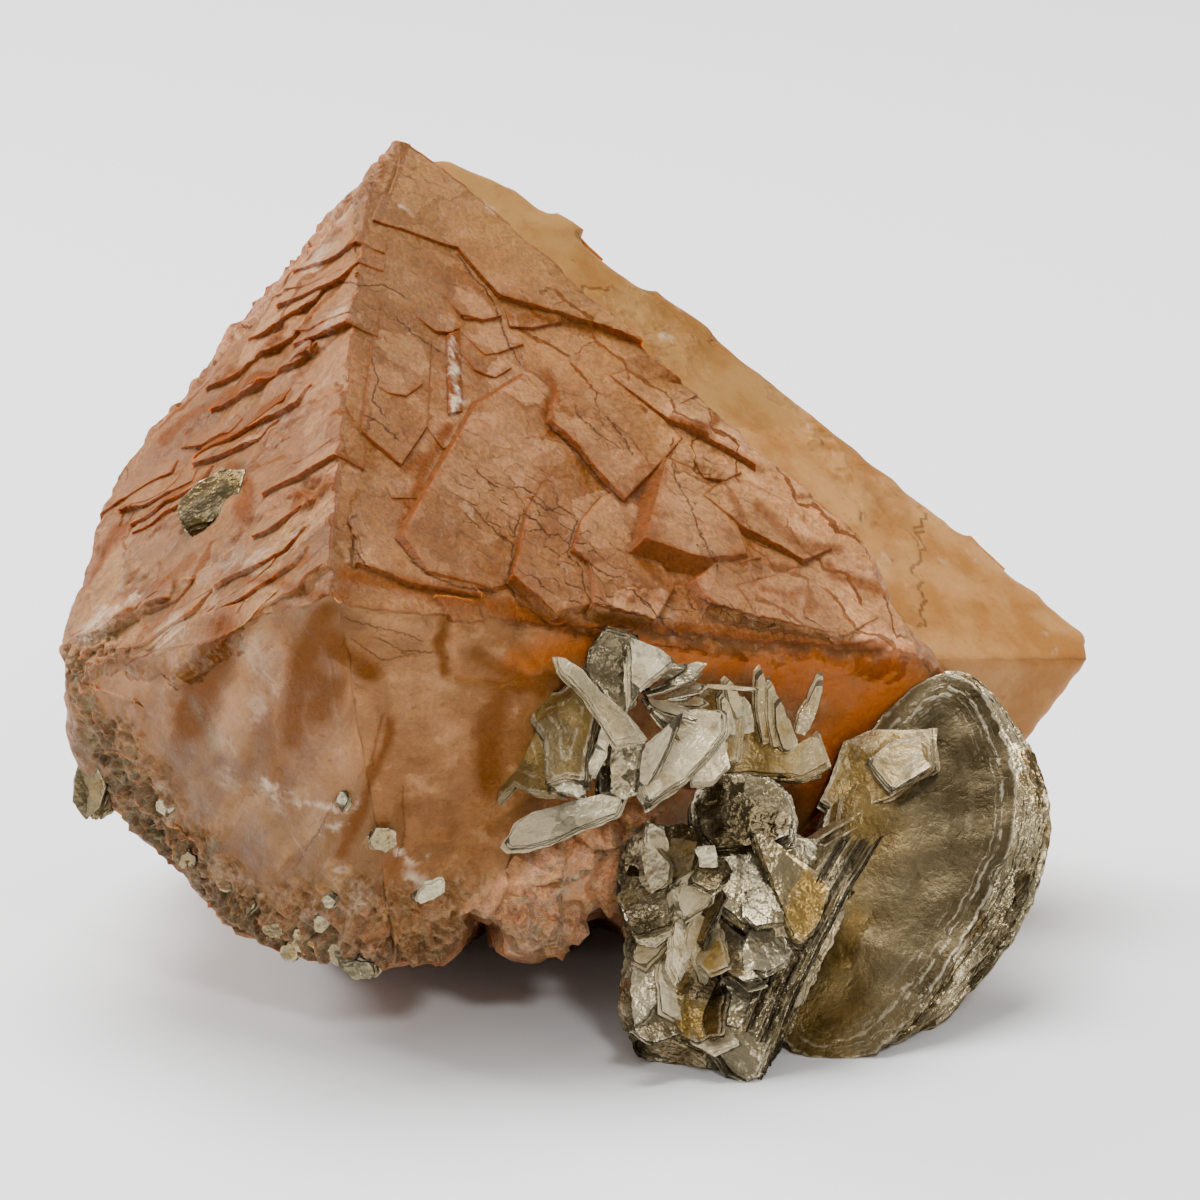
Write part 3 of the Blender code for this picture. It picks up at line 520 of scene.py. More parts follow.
# ripples lying like shingles, with painted shade along their ledges
shingleMarks = [
    ([(560, 330), (640, 400), (700, 430), (800, 480), (880, 600)], 62, 1.0),
    ([(520, 400), (560, 440), (640, 500)], 26, 0.7),
    ([(640, 590), (760, 610), (880, 640)], 26, 0.8),
    ([(150, 470), (230, 360), (320, 240)], 70, 1.0),
    ([(170, 560), (260, 520), (330, 430)], 50, 0.9),
    ([(110, 640), (200, 620)], 40, 0.6),
]
# open cracks, points only
crackMarks = [
    [(460, 258), (474, 278), (484, 288), (492, 300), (500, 318), (503, 330), (512, 352), (520, 365)],
    [(340, 284), (360, 286), (385, 286), (405, 298)],
    [(398, 320), (415, 335), (440, 352)],
    [(396, 542), (410, 560), (431, 577), (460, 588), (492, 593)],
    [(470, 505), (486, 524), (498, 535), (514, 545)],
    [(519, 516), (514, 535), (512, 561), (506, 585), (520, 605), (550, 622)],
    [(576, 523), (567, 554), (582, 569), (582, 587), (591, 602), (612, 608), (640, 615)],
    [(548, 425), (560, 437), (575, 452), (600, 480), (622, 505)],
    [(578, 415), (598, 432), (618, 446)],
    [(606, 418), (622, 436), (632, 452)],
    [(672, 465), (676, 480), (690, 510), (695, 530), (705, 548), (716, 572)],
    [(476, 470), (486, 480), (498, 486)],
    [(530, 500), (548, 512), (560, 508), (572, 516)],
    [(524, 515), (536, 522), (548, 535)],
    [(588, 560), (600, 572), (618, 580)],
    [(640, 600), (655, 612), (668, 628), (690, 640)],
    [(625, 640), (650, 645), (690, 650)],
    [(360, 520), (352, 545), (366, 566)],
    [(372, 360), (378, 380), (372, 400), (384, 416)],
    [(365, 415), (385, 428), (398, 440)],
    [(700, 600), (715, 608), (735, 610)],
    [(420, 640), (396, 632), (372, 628), (352, 624)],
    [(430, 652), (404, 652), (380, 640)],
    [(360, 645), (384, 662), (410, 656)],
    [(216, 846), (212, 872), (202, 884)],
    [(335, 800), (320, 830), (300, 860)],
    [(404, 790), (406, 830), (402, 860)],
]
# round pits and hollows: point, half width and depth in steps
pitMarks = [((316, 494), 12, 7), ((205, 205), 6, 3), ((243, 496), 10, 5), ((372, 740), 10, 3),
            ((300, 860), 12, 4), ((150, 660), 9, 3), ((410, 460), 6, 3)]


def onSheet(x, y):
    return (x - sheetMiddle) * sheetStep, (sheetMiddle - y) * sheetStep


farAway = 9.0           # stands for the distance of all that is further off than markReach
markReach = 3.0


# distance to the nearest mark, and the same with a sign for the side it lies on
def distanceTo(points, marks):
    near = np.full(len(points), farAway)
    side = np.full(len(points), farAway)
    for mark in marks:
        line = np.array([onSheet(*p) for p in mark])
        low = line.min(axis=0) - markReach
        high = line.max(axis=0) + markReach
        ids = np.flatnonzero(((points > low) & (points < high)).all(axis=1))
        for k in range(len(line) - 1):
            way = line[k + 1] - line[k]
            off = points[ids] - line[k]
            share = np.clip(off @ way / (way @ way), 0, 1)
            gap = np.linalg.norm(off - share[:, None] * way, axis=1)
            closer = gap < near[ids]
            cross = (way[0] * off[:, 1] - way[1] * off[:, 0]) / np.linalg.norm(way)
            spotIds = ids[closer]
            near[spotIds] = gap[closer]
            side[spotIds] = (np.sign(cross) * gap)[closer]
    return near, side


def markStrength(points, marks, soft):
    value = np.zeros(len(points))
    for line, half, strength in marks:
        near, _ = distanceTo(points, [line])
        half = half * sheetStep
        value = np.maximum(value, strength * np.clip((half * (1 + soft) - near) / (half * 2 * soft), 0, 1))
    return value


# each triangle's normal, as long as twice its area
def crossOf(points, corners):
    first = points[corners[:, 0]]
    return np.cross(points[corners[:, 1]] - first, points[corners[:, 2]] - first)


def addPiece(name, mesh, smoothBelow):
    piece = bpy.data.objects.new(name, mesh)
    bpy.context.scene.collection.objects.link(piece)
    bpy.ops.object.select_all(action="DESELECT")
    piece.select_set(True)
    bpy.context.view_layer.objects.active = piece
    bpy.ops.object.shade_smooth_by_angle(angle=math.radians(smoothBelow))
    piece.select_set(False)
    return piece


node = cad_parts["scheelite_crystal"]
points, corners, owners, flats = densify(node)
kinds = sortFlats(flats)
count = len(points)
print("scheelite", count, "points", len(corners), "triangles")
# height of the swelling and the grit on the faces, how far outlines are warped, and each one's fineness
rippleLook = {"warp": 0.6, "warpScale": 0.55, "swell": 0.12, "swellScale": 0.22, "grit": 0.02,
              "gritScale": 0.9}
# height of the step across a crack, how sharp it is and how far from the crack it dies away
crackLook = {"step": 0.05, "sharp": 0.3, "reach": 1.0}
# a drawn mark's edge is this share of its half width
markEdges = {"orange": 0.5, "glow": 0.7, "chalk": 0.6, "paleAndLit": 0.5, "crust": 0.6, "crumb": 0.6, "paintedShade": 0.6,
             "gold": 0.9, "mosaic": 0.5, "shingle": 0.5}
breakLook = {"edge": 0.1, "largest": 40.0}
middles = flats[:, 3:6] - np.array(zero)
middles = np.stack([middles @ np.array(axisU), middles @ np.array(axisV)], axis=1)
inBreak = markStrength(middles, breakMarks, breakLook["edge"]) > 0.5
kinds[inBreak & (flats[:, 6] < breakLook["largest"]) & (kinds != -3)] = -2

rng = np.random.default_rng(11)
offset = points - np.array(zero)
uAll = offset @ np.array(axisU)
vAll = offset @ np.array(axisV)
wAll = offset @ np.array(axisW)
nearer = frontFrame["eye"] / (frontFrame["eye"] - wAll)
sheet = np.stack([uAll * nearer, vAll * nearer], axis=1)
warp = [ripple(points, rippleLook["warpScale"], seed, 3) for seed in (1, 2)]
warp = np.stack(warp, axis=1) * rippleLook["warp"]
swell = ripple(points, rippleLook["swellScale"], 5, 4)
grit = ripple(points, rippleLook["gritScale"], 6, 3)

# what is seen from the front carries the drawn marks
flatKind = kinds[owners]
parent = np.where(flatKind >= 0, flatKind, np.where(flatKind <= -10, -10 - flatKind, -1))
facing = np.zeros(count)
seenFlat = flats[:, :3] @ np.array(axisW) > 0.03
facing[np.unique(corners[seenFlat[owners]])] = 1.0
crackNear, crackSide = distanceTo(sheet, crackMarks)
crackNear[facing == 0] = farAway
drawn = {"orange": orangeShadeMarks, "glow": paintedGlowMarks, "chalk": chalkMarks, "paleAndLit": paleAndLitMarks,
         "crust": crustMarks, "crumb": crumbMarks, "paintedShade": paintedShadeMarks, "gold": goldMarks,
         "mosaic": mosaicMarks, "shingle": shingleMarks}
warpShare = {"orange": 0.3, "chalk": 0.8}
marks = {}
for name, lines in drawn.items():
    marks[name] = markStrength(sheet + warp * warpShare.get(name, 1.0), lines, markEdges[name]) * facing
print("marks", len(marks))

# the faces' pull on every point, as the sums of a least squares fit
pullA = np.zeros((count, 3, 3))
pullB = np.zeros((count, 3))
grain = points.copy()


# the points are asked to rise by this height along the normal
def pullTo(ids, normal, height):
    n = np.array(normal)
    pullA[ids] += np.outer(n, n)
    pullB[ids] += height[:, None] * n


for k, name in enumerate(faceNames):
    ids = np.unique(corners[flatKind == k])
    if len(ids) == 0:
        continue
    normal = faces[name][0]
    if name in reliefLook:
        uv = np.stack([uAll[ids], vAll[ids]], axis=1)
        plates = []
        for patch in reliefLook[name]:
            plates += scatterPlates(rng, **patch)
    else:
        side = Vector((0, 0, 1)).cross(normal).normalized()
        up = normal.cross(side)
        uv = np.stack([points[ids] @ np.array(side), points[ids] @ np.array(up)], axis=1)
        lean = rng.uniform(*backLook["lean"])
        plates = scatterPlates(rng, backLook["count"], (*uv.min(axis=0), *uv.max(axis=0)), backLook["length"],
                               backLook["width"], lean, backLook["spread"], backLook["lift"], lean - 90,
                               tilt=backLook["tilt"])
    height = plateRelief(uv, plates, warp[ids])
    height += rippleLook["swell"] * swell[ids] + rippleLook["grit"] * grit[ids]
    near = crackNear[ids]
    rise = np.tanh(crackSide[ids] / crackLook["sharp"]) * np.exp(-(near / crackLook["reach"]) ** 2)
    height += crackLook["step"] * rise * (near < markReach)
    for pair, (drop, reach) in roundedEdges.items():
        if name in pair:
            other = pair[0] if pair[1] == name else pair[1]
            below = faces[other][1] - points[ids] @ np.array(faces[other][0])
            height -= drop * np.exp(-np.maximum(below, 0) / reach)
    for middle, half, depth in pitMarks:
        away = np.linalg.norm(sheet[ids] - np.array(onSheet(*middle)), axis=1) / (half * sheetStep)
        height -= depth * sheetStep * np.clip(1.2 - away, 0, 1) * facing[ids]
    pullTo(ids, normal, height)
    turn, stretch = grainLook.get(name, grainLook["others"])
    c = math.cos(math.radians(turn))
    s = math.sin(math.radians(turn))
    allIds = np.unique(corners[parent == k])
    if name in reliefLook:
        gu = uAll[allIds]
        gv = vAll[allIds]
    else:
        gu = points[allIds] @ np.array(side)
        gv = points[allIds] @ np.array(up)
    own = np.full(len(allIds), k * 7.3)
    grain[allIds] = np.stack([(gu * c + gv * s) / stretch, -gu * s + gv * c, own], axis=1)
    print(name, len(ids), "points", len(plates), "plates")

# broken ground: swelling, and at the back low rounded steps
stair = brokenLook["steps"] * ripple(points, brokenLook["stepScale"], 31, 3)
stair = np.floor(stair) + np.clip((stair - np.floor(stair)) * 3.0, 0, 1)
stair *= np.clip(-wAll / brokenLook["stepFrom"], 0, 1) * (1.0 - facing)
for j in np.flatnonzero(kinds == -2):
    ids = np.unique(corners[owners == j])
    normal = Vector(flats[j, :3])
    height = brokenLook["swell"] * swell[ids] + brokenLook["grain"] * grit[ids]
    if normal.dot(axisW) < 0.1:
        height += brokenLook["step"] * stair[ids]
    pullTo(ids, normal, height)
    side = Vector((0.3, 0.1, 1)).cross(normal).normalized()
    grain[ids, 0] = points[ids] @ np.array(side) / brokenLook["stretch"]
    grain[ids, 1] = points[ids] @ np.array(normal.cross(side))
ground = np.unique(corners[flatKind == -3])
pullTo(ground, (0, 0, -1), np.zeros(len(ground)))
move = np.linalg.solve(pullA + 0.02 * np.eye(3), pullB[:, :, None])[:, :, 0]
size = np.linalg.norm(move, axis=1)
move *= np.minimum(1.0, wornLook["furthest"] / np.maximum(size, 1e-9))[:, None]
# the plates' rims are worn soft, and points inside a step's wall follow their neighbours
loose = np.abs(pullA).sum(axis=(1, 2)) == 0
worn = np.linalg.matrix_rank(pullA, tol=0.3) == 1
pairs = np.concatenate([corners[:, [0, 1]], corners[:, [1, 2]], corners[:, [2, 0]]])
degree = np.maximum(np.bincount(pairs[:, 0], minlength=count), 1)
for turn in range(wornLook["follow"]):
    total = np.stack([np.bincount(pairs[:, 0], move[pairs[:, 1], c], count) for c in range(3)], axis=1)
    total /= degree[:, None]
    move[loose] = total[loose]
    if turn < wornLook["rounds"]:
        move[worn] += wornLook["share"] * (total - move)[worn]
move[ground, 2] = 0.0
shaped = points + move
rub = np.zeros(count)
for k, name in enumerate(faceNames):
    ids = np.unique(corners[parent == k])
    rub[ids] = np.maximum(rub[ids], rubbedLook.get(name, 0.0))
rub[ground] = 0.0
for _ in range(rubbedLook["rounds"]):
    mean = np.stack([np.bincount(pairs[:, 0], shaped[pairs[:, 1], c], count) for c in range(3)], axis=1)
    shaped += rub[:, None] * (mean / degree[:, None] - shaped)
outward = np.zeros((count, 3))
cross = crossOf(shaped, corners)
for c in range(3):
    np.add.at(outward, corners[:, c], cross)
outward /= np.maximum(np.linalg.norm(outward, axis=1), 1e-12)[:, None]
crumble = crumbLook["coarse"] * ripple(points, crumbLook["coarseScale"], 21, 3)
crumble += crumbLook["fine"] * ripple(points, crumbLook["fineScale"], 22, 2)
crumble *= marks["crumb"] * (shaped[:, 2] > 0.3)
shaped += outward * crumble[:, None]
shaped[:, 2] = np.maximum(shaped[:, 2], 0.0)

# how steep every triangle stands against its crystal face
cross = crossOf(shaped, corners)
cross /= np.maximum(np.linalg.norm(cross, axis=1), 1e-12)[:, None]
faceNormals = np.array([tuple(faces[n][0]) for n in faceNames] + [(0, 0, 0)])
steep = 1.0 - np.einsum("ij,ij->i", cross, faceNormals[parent])
steep[parent < 0] = 0.0
# steep triangles take the painted shade and glow of a step's wall
wallShare = np.clip((steep - wallLook["from"]) / wallLook["over"], 0, 1)
wallShare[flatKind <= -10] = 1.0
edgeWorn = np.zeros(count)
for pair, (drop, reach) in roundedEdges.items():
    below = [faces[name][1] - points @ np.array(faces[name][0]) for name in pair]
    away = (np.abs(below[0]) + np.abs(below[1])) / (wallLook["edgeReach"] * reach)
    edgeWorn = np.maximum(edgeWorn, np.exp(-away))
wallShare *= 1.0 - np.clip(edgeWorn * wallLook["edgeShare"], 0, 1)[corners].max(axis=1)
# the walls' share on the points: where the painted shade and glow of step walls goes
marks["scarp"] = np.zeros(count)
np.add.at(marks["scarp"], corners.ravel(), np.repeat(wallShare, 3))
marks["scarp"] /= degree
marks["soft"] = np.clip(rub / rubbedLook["fully"], 0, 1)
marks["second"] = np.zeros(count)
secondFaces = [k for k, n in enumerate(faceNames) if n.startswith("second")]
marks["second"][np.unique(corners[np.isin(parent, secondFaces)])] = 1.0
marks["soft"] *= 1.0 - marks["second"]
marks["rough"] = np.zeros(count)
marks["rough"][np.unique(corners[parent < 0])] = 1.0
marks["crackNear"] = crackNear
marks["crackSide"] = crackSide

mesh = bpy.data.meshes.new("scheelite")
mesh.from_pydata((shaped * mm).tolist(), [], corners.tolist())
for name, values in marks.items():
    mesh.attributes.new(name, "FLOAT", "POINT").data.foreach_set("value", values)
# each triangle's steep share, which carries the painted shade and glow of step walls
mesh.attributes.new("wall", "FLOAT", "FACE").data.foreach_set("value", wallShare)
mesh.attributes.new("grain", "FLOAT_VECTOR", "POINT").data.foreach_set("vector", grain.ravel())
scheelite = addPiece("scheelite", mesh, scheeliteMesh["smoothBelow"])
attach(scheelite, "root")
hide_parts("scheelite_crystal")


# materials: each helper adds its node to the tree in hand, and takes numbers, colours or other nodes' outputs
def newMaterial(name):
    material = bpy.data.materials.new(name)
    material.use_nodes = True
    return material, material.node_tree, material.node_tree.nodes["Principled BSDF"]


def feed(socket, value):
    if isinstance(value, (int, float)):
        socket.default_value = value
    elif isinstance(value, tuple):
        socket.default_value = (*value, 1.0) if len(value) == 3 and socket.type == "RGBA" else value
    else:
        tree.links.new(value, socket)


def mixColour(factor, a, b, how="MIX"):
    made = tree.nodes.new("ShaderNodeMix")
    made.data_type = "RGBA"
    made.blend_type = how
    for k, value in ((0, factor), (6, a), (7, b)):
        feed(made.inputs[k], value)
    return made.outputs[2]


def maths(how, a, b=0.0, clamp=False):
    made = tree.nodes.new("ShaderNodeMath")
    made.operation = how
    made.use_clamp = clamp
    feed(made.inputs[0], a)
    feed(made.inputs[1], b)
    return made.outputs[0]


def product(a, b, clamp=False):
    return maths("MULTIPLY", a, b, clamp)


def total(a, b, clamp=False):
    return maths("ADD", a, b, clamp)


def higher(a, b):
    return maths("MAXIMUM", a, b)


# one less a share of the value
def without(value, share=1.0):
    return maths("SUBTRACT", 1.0, value if share == 1.0 else product(value, share))


def spread(value, low, high, toLow=0.0, toHigh=1.0):
    made = tree.nodes.new("ShaderNodeMapRange")
    made.interpolation_type = "SMOOTHSTEP"
    for k, v in enumerate((value, low, high, toLow, toHigh)):
        feed(made.inputs[k], v)
    return made.outputs[0]


def vectorMaths(how, a, b):
    made = tree.nodes.new("ShaderNodeVectorMath")
    made.operation = how
    feed(made.inputs[0], a)
    feed(made.inputs["Scale" if how == "SCALE" else 1], b)
    return made.outputs["Value" if how == "DOT_PRODUCT" else "Vector"]


def noiseTexture(place, scale, detail=4.0, rough=0.6, colour=False):
    made = tree.nodes.new("ShaderNodeTexNoise")
    for name, value in (("Vector", place), ("Scale", scale), ("Detail", detail), ("Roughness", rough)):
        feed(made.inputs[name], value)
    return made.outputs["Color" if colour else "Fac"]


def attributeValue(name, vector=False):
    made = tree.nodes.new("ShaderNodeAttribute")
    made.attribute_name = name
    return made.outputs["Vector" if vector else "Fac"]


def bumpOf(height, distance):
    made = tree.nodes.new("ShaderNodeBump")
    made.inputs["Distance"].default_value = distance
    tree.links.new(height, made.inputs["Height"])
    return made.outputs[0]


# a place pushed about by a noise
def warped(place, scale, by):
    wobble = vectorMaths("SUBTRACT", noiseTexture(place, scale, 3.0, 0.6, True), (0.5, 0.5, 0.5))
    return vectorMaths("ADD", place, vectorMaths("SCALE", wobble, by))


# flakes of cleavage lying like tiles: cells that rise downhill (towards -y); also where a tile drops off
def tiles(place, scale, rise, jump, ledge):
    cells = []
    for shift in (0.0, -ledge):
        at = place if shift == 0.0 else vectorMaths("ADD", place, (0.0, shift, 0.0))
        cell = tree.nodes.new("ShaderNodeTexVoronoi")
        cell.voronoi_dimensions = "2D"
        cell.inputs["Scale"].default_value = scale
        tree.links.new(at, cell.inputs["Vector"])
        away = vectorMaths("SUBTRACT", at, cell.outputs["Position"])
        lean = vectorMaths("SUBTRACT", cell.outputs["Color"], (0.5, 0.5 + rise, 0.5))
        slope = vectorMaths("DOT_PRODUCT", away, lean)
        step = vectorMaths("DOT_PRODUCT", cell.outputs["Color"], (0.2, 0.3, 0.5))
        cells.append((total(slope, product(step, jump)), step))
    return cells[0][0], cells[0][1], maths("SUBTRACT", cells[0][0], cells[1][0])


# colours, the sizes of the two layers of tiles, and how deep light goes in metres
scheeliteLook = {
    "face": (0.220, 0.080, 0.016), "faceDark": (0.150, 0.046, 0.005), "facePale": (0.38, 0.175, 0.066),
    "soft": (0.205, 0.080, 0.016), "softDark": (0.140, 0.049, 0.007), "softPale": (0.36, 0.172, 0.066),
    # painted light among these colours: the paler colour brightens ground that lies in shadow, the dusk
    # colour darkens as painted shade, the two scarp colours are painted shade and glow on step walls, and the
    # glow colour is a painted glow of light through the crystal
    "paintedLitPale": (0.80, 0.385, 0.185), "softScarpShade": (0.115, 0.034, 0.0015),
    "paintedShade": (0.74, 0.76, 0.62), "scarp": (0.130, 0.030, 0.001), "glow": (0.37, 0.086, 0.001),
    "gold": (0.34, 0.142, 0.030), "amber": (0.39, 0.190, 0.058), "amberDark": (0.29, 0.118, 0.022),
    "chalk": (0.50, 0.37, 0.25), "sheen": (1.0, 0.80, 0.62),
    "crack": (0.045, 0.014, 0.003), "speck": (0.07, 0.022, 0.004), "broken": (0.27, 0.092, 0.024),
    "brokenPale": (0.42, 0.205, 0.095), "crust": (0.19, 0.135, 0.07), "crustDark": (0.022, 0.014, 0.006),
    "crumb": (0.36, 0.23, 0.12), "crumbDark": (0.085, 0.040, 0.012),
    "tiles": 0.40, "chips": 1.15, "radius": (1.0, 0.30, 0.07), "depth": 0.0016, "milky": 0.7, "ior": 1.6,
}
material, tree, shader = newMaterial("scheelite")
look = scheeliteLook
coords = tree.nodes.new("ShaderNodeTexCoord").outputs["Object"]
grainCoords = attributeValue("grain", True)
blotch = noiseTexture(coords, 160.0, 4.0, 0.62)
fine = noiseTexture(coords, 900.0, 5.0, 0.68)
grit = noiseTexture(coords, 2600.0, 3.0, 0.75)
place = warped(grainCoords, 0.7, 1.1)
place = warped(place, 3.5, 0.16)
tileHeight, tileTone, tileDrop = tiles(place, look["tiles"], 0.35, 0.5, 0.26)
chipHeight, chipTone, chipDrop = tiles(place, look["chips"], 0.3, 0.4, 0.09)
shingle = attributeValue("shingle")
mosaic = attributeValue("mosaic")
second = attributeValue("second")
soft = attributeValue("soft")
crumb = attributeValue("crumb")
rough = attributeValue("rough")
splinter = noiseTexture(place, 1.3, 4.0, 0.75)
streak = noiseTexture(place, 0.42, 4.0, 0.6)
# ground colours
base = mixColour(spread(blotch, 0.36, 0.66), look["faceDark"], look["face"])
base = mixColour(spread(tileTone, 0.45, 0.8, 0.0, 0.6), base, look["facePale"])
base = mixColour(spread(chipTone, 0.5, 0.85, 0.0, 0.35), base, look["facePale"])
softly = mixColour(spread(streak, 0.36, 0.52), look["softDark"], look["soft"])
softly = mixColour(spread(streak, 0.54, 0.68), softly, look["softPale"])
base = mixColour(soft, base, softly)
torn = mixColour(spread(splinter, 0.38, 0.62), look["broken"], look["brokenPale"])
torn = mixColour(spread(blotch, 0.40, 0.62, 0.0, 0.7), torn, look["faceDark"])
base = mixColour(rough, base, torn)
# a mark stronger than 1 turns still paler: painted light on the rib in the lower rosette's shadow and on the
# right of the front face
paleness = attributeValue("paleAndLit")
over = product(maths("SUBTRACT", paleness, 1.0, True), 2.0, True)
paleAndLit = mixColour(over, mixColour(soft, look["facePale"], look["softPale"]), look["paintedLitPale"])
base = mixColour(product(paleness, spread(streak, 0.3, 0.6, 0.35, 0.85), True), base, paleAndLit)
gold = product(attributeValue("gold"), spread(blotch, 0.30, 0.60, 0.35, 0.85))
base = mixColour(gold, base, look["gold"])
amber = mixColour(spread(blotch, 0.38, 0.62), look["amberDark"], look["amber"])
base = mixColour(second, base, amber)
# painted shade: the colour is darkened under these marks
paintedShaded = mixColour(1.0, base, look["paintedShade"], "MULTIPLY")
base = mixColour(attributeValue("paintedShade"), base, paintedShaded)
# painted glow of light through the crystal, under the front edge
base = mixColour(attributeValue("glow"), base, look["glow"])
base = mixColour(spread(fine, 0.60, 0.74, 0.0, 0.55), base, look["speck"])
# steps and scars: painted shade and glow, a darker and more saturated orange on step walls, drawn scarps and
# the shingles' ledges, standing for shade on the walls and for light coming through the crystal
wall = higher(attributeValue("scarp"), attributeValue("wall"))
wall = product(wall, without(soft, 0.85))
# painted shade and glow along the drawn orange marks
orangeBandShade = product(attributeValue("orange"), spread(blotch, 0.25, 0.6, 0.7, 1.0))
# painted shade under the ledges where a tile drops off, among the shingles
ledge = product(spread(tileDrop, 0.10, 0.24), product(shingle, 0.9))
wall = higher(wall, higher(orangeBandShade, ledge))
wall = product(wall, without(second, 0.95))
base = mixColour(wall, base, mixColour(soft, look["scarp"], look["softScarpShade"]))
patchy = spread(noiseTexture(coords, 420.0, 5.0, 0.7), 0.45, 0.62)
chalk = attributeValue("chalk")
chalk = total(product(chalk, patchy), higher(0.0, maths("SUBTRACT", chalk, 1.0)), True)
base = mixColour(chalk, base, look["chalk"])
# crumbs and crust
crumbNoise = noiseTexture(coords, 1300.0, 5.0, 0.8)
flaky = total(product(crumbNoise, 0.45), product(splinter, 0.55))
crumbs = mixColour(spread(flaky, 0.44, 0.58), look["crumbDark"], look["crumb"])
base = mixColour(product(crumb, 0.7), base, crumbs)
crust = mixColour(spread(fine, 0.40, 0.60), look["crustDark"], look["crust"])
base = mixColour(product(attributeValue("crust"), spread(fine, 0.38, 0.5, 0.2, 0.9)), base, crust)
smoothPart = higher(product(soft, 0.75), product(second, 0.8))
gritty = mixColour(1.0, base, spread(grit, 0.30, 0.70, 0.66, 1.28), "MULTIPLY")
base = mixColour(without(smoothPart), base, gritty)
# thin cracks: the drawn ones, and the lower rims of the chips where the face is shattered
jag = product(maths("SUBTRACT", noiseTexture(coords, 1600.0, 3.0, 0.7), 0.5), 0.55)
line = maths("ABSOLUTE", total(attributeValue("crackSide"), jag))
drawn = product(spread(line, 0.02, 0.10, 1.0, 0.0), spread(attributeValue("crackNear"), 0.3, 0.45, 1.0, 0.0))
drawn = product(drawn, maths("SUBTRACT", 0.85, product(soft, 0.4)))
shattered = product(spread(noiseTexture(coords, 110.0, 3.0, 0.6), 0.50, 0.60, 0.0, 0.55),
                    product(without(second), without(soft)))
netted = product(spread(chipDrop, 0.01, 0.08), higher(product(mosaic, 0.95), shattered))
netted = product(netted, without(wall, 0.8))
lines = product(higher(drawn, netted), without(second, 0.9))
base = mixColour(lines, base, look["crack"])
tree.links.new(base, shader.inputs["Base Color"])
tree.links.new(spread(fine, 0.3, 0.7, 0.36, 0.58), shader.inputs["Roughness"])
shine = spread(higher(wall, lines), 0.0, 1.0, 0.27, 0.08)
shine = product(shine, without(second, 0.5))
tree.links.new(shine, shader.inputs["Specular IOR Level"])
# bump: tiles and chips, cracks sunk in, grain, and the broken ground
height = product(tileHeight, total(product(shingle, 0.9), 0.08))
chips = product(chipHeight, total(total(product(mosaic, 0.8), product(crumb, 0.15)), 0.16))
height = total(height, chips)
height = product(height, without(second, 0.9))
height = maths("SUBTRACT", height, product(lines, 0.08))
grains = total(product(fine, 0.22), product(grit, 0.085))
height = total(height, product(grains, without(smoothPart)))
height = total(height, product(streak, product(soft, 0.5)))
height = total(height, product(flaky, total(product(crumb, 1.1), product(rough, 0.6))))
height = total(height, product(tileHeight, product(rough, 0.5)))
tree.links.new(bumpOf(height, mm), shader.inputs["Normal"])
shader.inputs["Subsurface Weight"].default_value = look["milky"]
shader.inputs["Subsurface Radius"].default_value = look["radius"]
shader.inputs["Subsurface Scale"].default_value = look["depth"]
shader.inputs["Specular Tint"].default_value = (*look["sheen"], 1.0)
shader.inputs["IOR"].default_value = look["ior"]
scheelite.data.materials.append(material)
print("scheelite's material", len(tree.nodes), "nodes")


# muscovite: stacks of thin sheets, drawn as seen from the front (a to the right, b up), in millimetres.
# spacing of a sheet's inner points and of its rim's, the gap between sheets, and the most that one bows
sheetLook = {"spacing": 0.55, "rimStep": 0.32, "margin": 0.45, "gap": 0.03, "mostBow": 2.5, "waveScale": 0.35,
             "smoothBelow": 30.0}
micaValues = ("inward", "tint", "dark", "glow", "tone")


def turnedTo(way):
    return (axisU * way[0] + axisV * way[1] + axisW * way[2]).normalized()


# where the front view's point (a, b) lands on a plane given as its normal and distance
def seen(a, b, plane):
    start = spot(0.0, 0.0, frontFrame["eye"])
    way = spot(a, b, 0.0) - start
    return start + way * ((plane[1] - plane[0].dot(start)) / plane[0].dot(way))


# the point straight behind (u, v) on a plane, raised off it
def foot(plane, u, v, rise):
    start = spot(u, v, 0.0)
    return start + axisW * ((plane[1] - plane[0].dot(start)) / plane[0].dot(axisW)) + plane[0] * rise


# a sheet's own place: its origin, right, up and normal
def sheetHome(face, origin):
    right = axisU - face * axisU.dot(face)
    if right.length < 0.2:
        right = axisV - face * axisV.dot(face)
    right.normalize()
    return origin, right, face.cross(right), face


# the points as an outline in the sheet's own plane that runs counter-clockwise
def outlineIn(home, places):
    origin, right, up, _ = home
    loop = np.array([((p - origin).dot(right), (p - origin).dot(up)) for p in places])
    before = np.roll(loop, 1, axis=0)
    area = (before[:, 0] * loop[:, 1] - loop[:, 0] * before[:, 1]).sum()
    return loop[::-1] if area < 0 else loop


# the outline with its long edges cut short and pushed in and out a little
def raggedLoop(loop, rag, seed, step=sheetLook["rimStep"]):
    rim = []
    for k in range(len(loop)):
        a = loop[k]
        b = loop[(k + 1) % len(loop)]
        cuts = max(1, int(round(np.linalg.norm(b - a) / step)))
        for j in range(cuts):
            rim.append(a + (b - a) * (j / cuts))
    rim = np.array(rim)
    ahead = np.roll(rim, -1, axis=0) - np.roll(rim, 1, axis=0)
    out = np.stack([ahead[:, 1], -ahead[:, 0]], axis=1)
    out /= np.maximum(np.linalg.norm(out, axis=1), 1e-9)[:, None]
    push = np.array([noise.noise(Vector((p[0] * 0.9, p[1] * 0.9, seed))) * 1.0
                     + noise.noise(Vector((p[0] * 2.6, p[1] * 2.6, seed + 5.0))) * 0.6 for p in rim])
    return rim + out * (push * rag)[:, None]


def newStore():
    store = {key: [] for key in ("points", "tris", *micaValues)}
    store["count"] = 0
    return store


